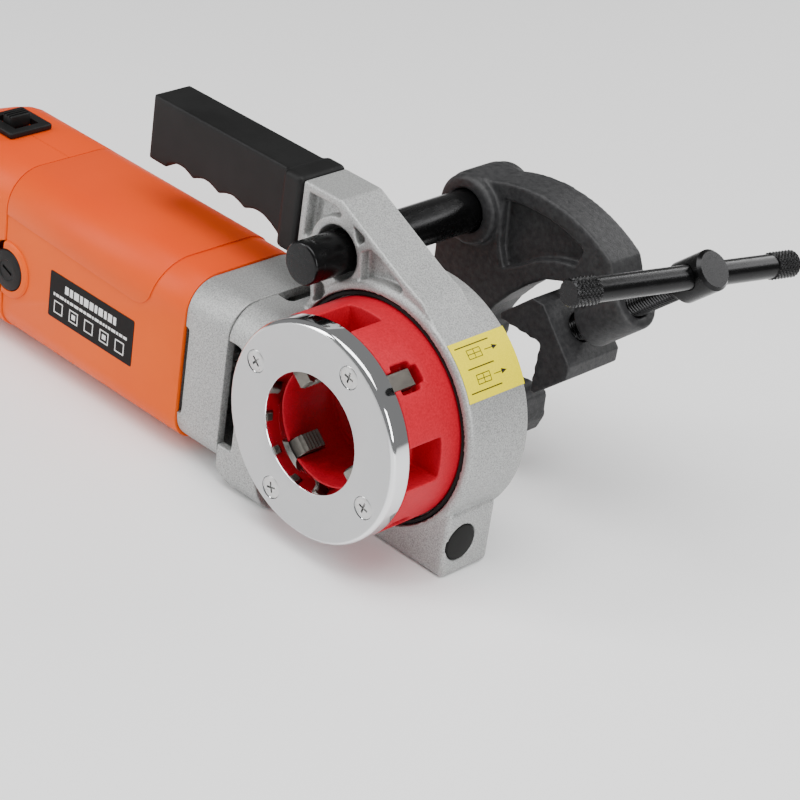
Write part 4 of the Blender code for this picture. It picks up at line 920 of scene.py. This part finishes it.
def vice_outline():
    outline = mm_points((52, 48), (66, 64), (62, 78)) + arc((0, 0), 104 * MM, 56, 110, 24)
    outline += arc((ROD_X, ROD_Z - DIE_HEIGHT), 22 * MM, 105, 180, 8)
    outline += mm_points((-70, 45), (-69, 20), (-64, -10), (-53, -36), (-36, -53), (-14, -58), (8, -52),
                         (12, -42))
    lip = VEE_HALF - VEE_DEPTH
    for side in (-1, 1):
        face = []
        for i in range(9):
            share = i / 8 if side > 0 else 1 - i / 8
            bite = 0 if i % 2 else 1.1 * MM
            reach = -VEE_DEPTH + VEE_HALF * share - bite * 0.7
            face.append(along_screw(reach, side * (VEE_HALF * share + bite * 0.7)))
        outline += face if side < 0 else face[1:]
    outline.append(along_screw(lip, VEE_HALF + 1.2 * MM))
    outline += mm_points((-19, 24), (-9, 36), (2, 47), (14, 56), (28, 61), (38, 58))
    return outline


def vice_frame():
    near, far, pocket_depth = VICE_Y - VICE_HALF, VICE_Y + VICE_HALF, 6 * MM
    body = slab_y("vice_frame_casting", [vice_outline()], near, far)
    boss_r, boss_half = 21 * MM, 20 * MM
    rod_boss = rod_profile(boss_r, VICE_Y - boss_half, VICE_Y + boss_half, 2 * MM)
    nut_boss = mm_points((0, 96), (13, 96), (14.5, 95.4), (15, 94), (15, 59), (0, 59))
    join(body, turned_y("rod_boss", rod_boss, ROD_X, ROD_Z),
         turned("nut_boss", nut_boss, on_screw_axis(), 64))
    pocket = arc((0, 0), 93 * MM, 66, 105, 14)
    pocket += mm_points((-22, 62), (-17, 50), (-6, 56), (6, 65), (20, 71), (34, 74))
    cut(body, slab_y("web_pocket_front", [pocket], near - 10 * MM, near + pocket_depth),
        slab_y("web_pocket_back", [pocket], far - pocket_depth, far + 10 * MM))
    rod_socket = rod_profile(ROD_R + 0.5 * MM, VICE_Y - 40 * MM, VICE_Y + 40 * MM)
    tunnel = rod_profile(SCREW_R + 0.6 * MM, 110 * MM, 45 * MM)
    cut(body, turned_y("rod_socket", rod_socket, ROD_X, ROD_Z),
        turned("screw_tunnel", tunnel, on_screw_axis(), 64))
    cast_skin(body, 0.9 * MM, 9)
    return finish_piece(body, "support_arm", "black_cast_iron", ["vice_frame"], sharp=70)


def moving_jaw():
    """The V-shaped jaw that the clamp screw pushes; its faces have coarse gripping teeth."""
    outline = mm_points((-19, 49), (-25, 43), (-25, 15), (-22, 12.5))
    for i in range(1, 16):
        aside = -22 + 44 * i / 16
        bite = 0.0 if i % 2 == 0 else 1.1
        outline += mm_points((aside, 34.5 - abs(aside) + bite))
    outline += mm_points((22, 12.5), (25, 15), (25, 43), (19, 49))
    jaw = slab("moving_jaw_casting", [outline], 44 * MM, on_screw_axis() @ FACING_Y)
    for near, far in ((-28 * MM, -23 * MM), (23 * MM, 28 * MM)):
        cut(jaw, block("side_recess", near, far, -18 * MM, 18 * MM, 20 * MM, 40 * MM, on_screw_axis()))
    socket = rod_profile(SCREW_R + 0.8 * MM, 60 * MM, 40 * MM)
    cut(jaw, turned("jaw_socket", socket, on_screw_axis(), 64))
    cast_skin(jaw, 0.6 * MM, 4)
    return finish_piece(jaw, "jaw", "black_cast_iron", ["moving_jaw"], sharp=60)


def clamp_screw():
    """Threaded from the jaw to the head, which the tommy bar passes through."""
    crest, root = SCREW_R - 0.15 * MM, SCREW_R - 1.1 * MM
    head_far, head_near = BAR_RADIUS_AT + 12 * MM, BAR_RADIUS_AT - 13 * MM
    thread_end = head_near - 4 * MM

    def radius_at(angle, height):
        phase = (height / SCREW_PITCH - angle / (2 * math.pi)) % 1.0
        ridge = min(1.0, max(0.0, 1.6 * (1 - abs(2 * phase - 1)) - 0.2))
        fade = min(1.0, max(0.0, (thread_end - height) / SCREW_PITCH))
        return root + (crest - root) * (1 - fade * (1 - ridge))

    shank_near, shank_far = 41 * MM, head_near + MM
    rows = round((head_near + MM - shank_near) / (SCREW_PITCH / 8))
    shank = rippled_rod("clamp_screw_turned", radius_at, shank_near, shank_far, rows, 40, on_screw_axis())
    head = mm_points((0, 0), (10.2, 0), (11.9, -1.9), y0=head_far)
    head += mm_points((11.9, 0.8), (11.3, 0), (9, -2.4), (0, -2.4), y0=head_near)
    join(shank, turned("screw_head", head, on_screw_axis(), 64))
    cut(shank, turned("bar_hole", rod_profile(BAR_R + 0.3 * MM, 30 * MM, -30 * MM), bar_frame(), 48))
    return finish_piece(shank, "screw", "blackened_steel", ["clamp_screw"])


def tommy_bar():
    """Sliding bar with a diamond knurl on both ends."""
    half = BAR_LENGTH / 2

    def knurled(angle, height):
        from_end = half - abs(height)
        if from_end > KNURL_LENGTH:
            return BAR_R - 0.05 * MM
        starts, lead = 20, 2.4 / MM
        one = abs(math.sin((starts * angle + lead * height) / 2))
        other = abs(math.sin((starts * angle - lead * height) / 2))
        chamfer = min(1.0, from_end / (1.2 * MM))
        return KNURL_R - 1.3 * MM + chamfer * (0.6 * MM + 0.65 * MM * min(one, other))

    matrix = bar_frame() @ Matrix.Translation((0, 0, -BAR_SHIFT))
    bar = rippled_rod("tommy_bar_knurled", knurled, -half, half, 704, 120, matrix)
    fewer = bar.modifiers.new("Fewer faces", 'DECIMATE')
    fewer.ratio = 0.35
    settle(bar)
    return finish_piece(bar, "bar", "blackened_steel", ["tommy_bar"])


def support_rod():
    front, back, chamfer = -45 * MM, 130 * MM, 1.6 * MM
    profile = [(0, front)] + arc((ROD_R - chamfer, front + chamfer), chamfer, -90, 0, 5)
    profile += mm_points((0, 6), (-0.25, 6.2), (-0.25, 6.6), (0, 6.8), x0=ROD_R, y0=front)
    profile += arc((ROD_R - chamfer, back - chamfer), chamfer, 0, 90, 5) + [(0, back)]
    rod = turned_y("support_rod_turned", profile, ROD_X, ROD_Z)
    return finish_piece(rod, "support_arm", "blackened_steel", ["support_rod"])


# ------------------------ labels

def flat_patch(bm, corners):
    bm.faces.new([bm.verts.new(corner) for corner in corners])


def on_ring(angle, y, lift):
    """A point on the head ring's rim, its angle in degrees above +X."""
    turn = math.radians(angle)
    radius = RING_R + lift
    return radius * math.cos(turn), y, DIE_HEIGHT + radius * math.sin(turn)


def rim_patch(bm, low_angle, high_angle, front, back, lift):
    """A strip of label bent round the ring."""
    steps = max(1, round((high_angle - low_angle) / 1.5))
    for i in range(steps):
        a = low_angle + (high_angle - low_angle) * i / steps
        b = low_angle + (high_angle - low_angle) * (i + 1) / steps
        flat_patch(bm, [on_ring(a, front, lift), on_ring(a, back, lift), on_ring(b, back, lift),
                        on_ring(b, front, lift)])


def thin_sheet(name, bm, thickness, look):
    bmesh.ops.remove_doubles(bm, verts=bm.verts, dist=WELD)
    obj = from_bmesh(name, bm)
    solid = obj.modifiers.new("Thickness", 'SOLIDIFY')
    solid.thickness = thickness
    solid.offset = 0
    return finish_piece(settle(obj), "machine", "black_plastic", look=look)


def caution_label():
    """Yellow label with plain bars and a simple arrow diagram, no lettering."""
    low, high, front, back = 27.5, 54, -18 * MM, 25.4 * MM
    bm = bmesh.new()
    rim_patch(bm, low, high, front, back, 0.15 * MM)
    thin_sheet("caution_label", bm, 0.2 * MM, printed_label("yellow_label", (0.88, 0.74, 0.0)))
    bm = bmesh.new()
    lift = 0.32 * MM
    for row, (start, length) in enumerate(((3, 26), (6, 20), (3, 24))):
        angle = high - 3.0 - row * 10.0
        rim_patch(bm, angle, angle + 0.5, front + start * MM, front + (start + length) * MM, lift)
    for angle in (high - 9, high - 20):
        for i in range(3):
            y = front + (10 + 5 * i) * MM
            rim_patch(bm, angle, angle + 4, y, y + 0.4 * MM, lift)
        for i in range(3):
            rim_patch(bm, angle + 2 * i, angle + 2 * i + 0.3, front + 10 * MM, front + 20.4 * MM, lift)
        rim_patch(bm, angle + 2, angle + 2.3, front + 23 * MM, front + 30 * MM, lift)
        arrow_head = ((1, 29), (2.15, 33), (3.3, 29))
        flat_patch(bm, [on_ring(angle + turn, front + y * MM, lift) for turn, y in arrow_head])
    thin_sheet("caution_label_marks", bm, INK, printed_label("label_ink", grey(0.02)))


def rating_label():
    """Black label with pale bars and plain symbols, no lettering."""
    left, right, low, high = -234 * MM, -158 * MM, DIE_HEIGHT - 38 * MM, DIE_HEIGHT - 8 * MM
    face = SHELL_FRONT
    outline = rounded_box(left, right, low, high, [1.2 * MM] * 4)
    sheet = slab_y("rating_label", [outline], face - 0.25 * MM, face - 0.02 * MM, z=0)
    black = printed_label("black_label", (0.012, 0.011, 0.011))
    finish_piece(sheet, "machine", "black_plastic", look=black)
    marks = []
    rng = random.Random(7)
    x = left + 14 * MM
    while x < right - 16 * MM:
        width = (2.2 + rng.random() * 3.2) * MM
        marks.append((x, x + width, high - 10 * MM, high - 5 * MM))
        x += width + 1.2 * MM
    x = left + 4 * MM
    while x < right - 6 * MM:
        width = (1.2 + rng.random() * 3.0) * MM
        marks.append((x, x + width, high - 15 * MM, high - 13.2 * MM))
        x += width + 0.8 * MM
    for i in range(5):
        x = left + (5 + 14 * i) * MM
        z = low + 4 * MM
        near, far, side = 0.7 * MM, 7.3 * MM, 8 * MM
        marks += [(x, x + side, z, z + near), (x, x + side, z + far, z + side),
                  (x, x + near, z + near, z + far), (x + far, x + side, z + near, z + far)]
        if i % 2:
            marks.append((x + 2.4 * MM, x + 5.6 * MM, z + 2.4 * MM, z + 5.6 * MM))
    bm = bmesh.new()
    for x0, x1, z0, z1 in marks:
        depth = face - 0.3 * MM
        flat_patch(bm, [(x0, depth, z0), (x1, depth, z0), (x1, depth, z1), (x0, depth, z1)])
    thin_sheet("rating_label_marks", bm, INK, printed_label("white_ink", grey(0.80)))


# ------------------------ build and stage

def paint_cad_nodes():
    slots = {part["node"]: part["material_slot"] for part in frame["record"]["subparts"]}
    for name, node in frame["nodes"].items():
        node.data.materials.clear()
        node.data.materials.append(FINISHES[slots[name]].material)


def lamp(name, place, target, width, height, power):
    data = bpy.data.lights.new(name, 'AREA')
    data.shape = 'RECTANGLE'
    data.size = width
    data.size_y = height
    data.energy = power
    obj = new_object(name, data)
    obj.location = place
    obj.rotation_euler = (Vector(target) - Vector(place)).to_track_quat('-Z', 'Y').to_euler()


def studio():
    bm = bmesh.new()
    just_below = Matrix.Translation((0, 0, -0.4 * MM))
    bmesh.ops.create_grid(bm, x_segments=2, y_segments=2, size=6.0, matrix=just_below)
    floor = from_bmesh("floor", bm)
    floor.data.materials.append(pale_floor().material)
    world = bpy.data.worlds.new("soft_studio")
    bpy.context.scene.world = world
    world.use_nodes = True
    background = world.node_tree.nodes["Background"]
    background.inputs["Color"].default_value = (1, 1, 1, 1)
    background.inputs["Strength"].default_value = 0.24
    lamp("overhead_softbox", (0.1, -0.3, 1.6), (-0.05, 0, 0.05), 1.6, 1.0, 33)
    lamp("left_strip", (-1.2, -1.3, 0.9), (-0.1, 0, 0.08), 0.4, 1.4, 21)
    lamp("right_softbox", (1.5, -0.4, 0.7), (0, 0, 0.1), 0.6, 0.8, 16)
    lamp("back_strip", (0.2, 1.5, 0.9), (0, 0.1, 0.1), 1.6, 0.4, 15)


def camera():
    """Looks down on the front right of the head, slightly rolled."""
    place = (0.86506, -1.00666, 0.81341)
    azimuth, elevation, roll = math.radians(40.66), math.radians(29.04), math.radians(8.43)
    forward = -Vector((math.sin(azimuth) * math.cos(elevation), -math.cos(azimuth) * math.cos(elevation),
                       math.sin(elevation)))
    level_right = forward.cross(Vector((0, 0, 1))).normalized()
    level_up = level_right.cross(forward)
    right = level_right * math.cos(roll) + level_up * math.sin(roll)
    up = level_up * math.cos(roll) - level_right * math.sin(roll)
    data = bpy.data.cameras.new("camera")
    data.lens = 123.0
    data.sensor_width = 36.0
    obj = new_object("camera", data)
    axes = Matrix((right, up, -forward)).transposed().to_4x4()
    obj.matrix_world = Matrix.Translation(place) @ axes
    bpy.context.scene.camera = obj


camera()
studio()
paint_cad_nodes()
head_casting()
gear_case()
small_head_parts()
motor_housing()
brush_caps()
rear_shell("front", -1)
rear_shell("back", 1)
controls()
cable_gland()
top_grip()
die_body()
chasers()
cover_plate()
vice_frame()
moving_jaw()
clamp_screw()
tommy_bar()
support_rod()
caution_label()
rating_label()
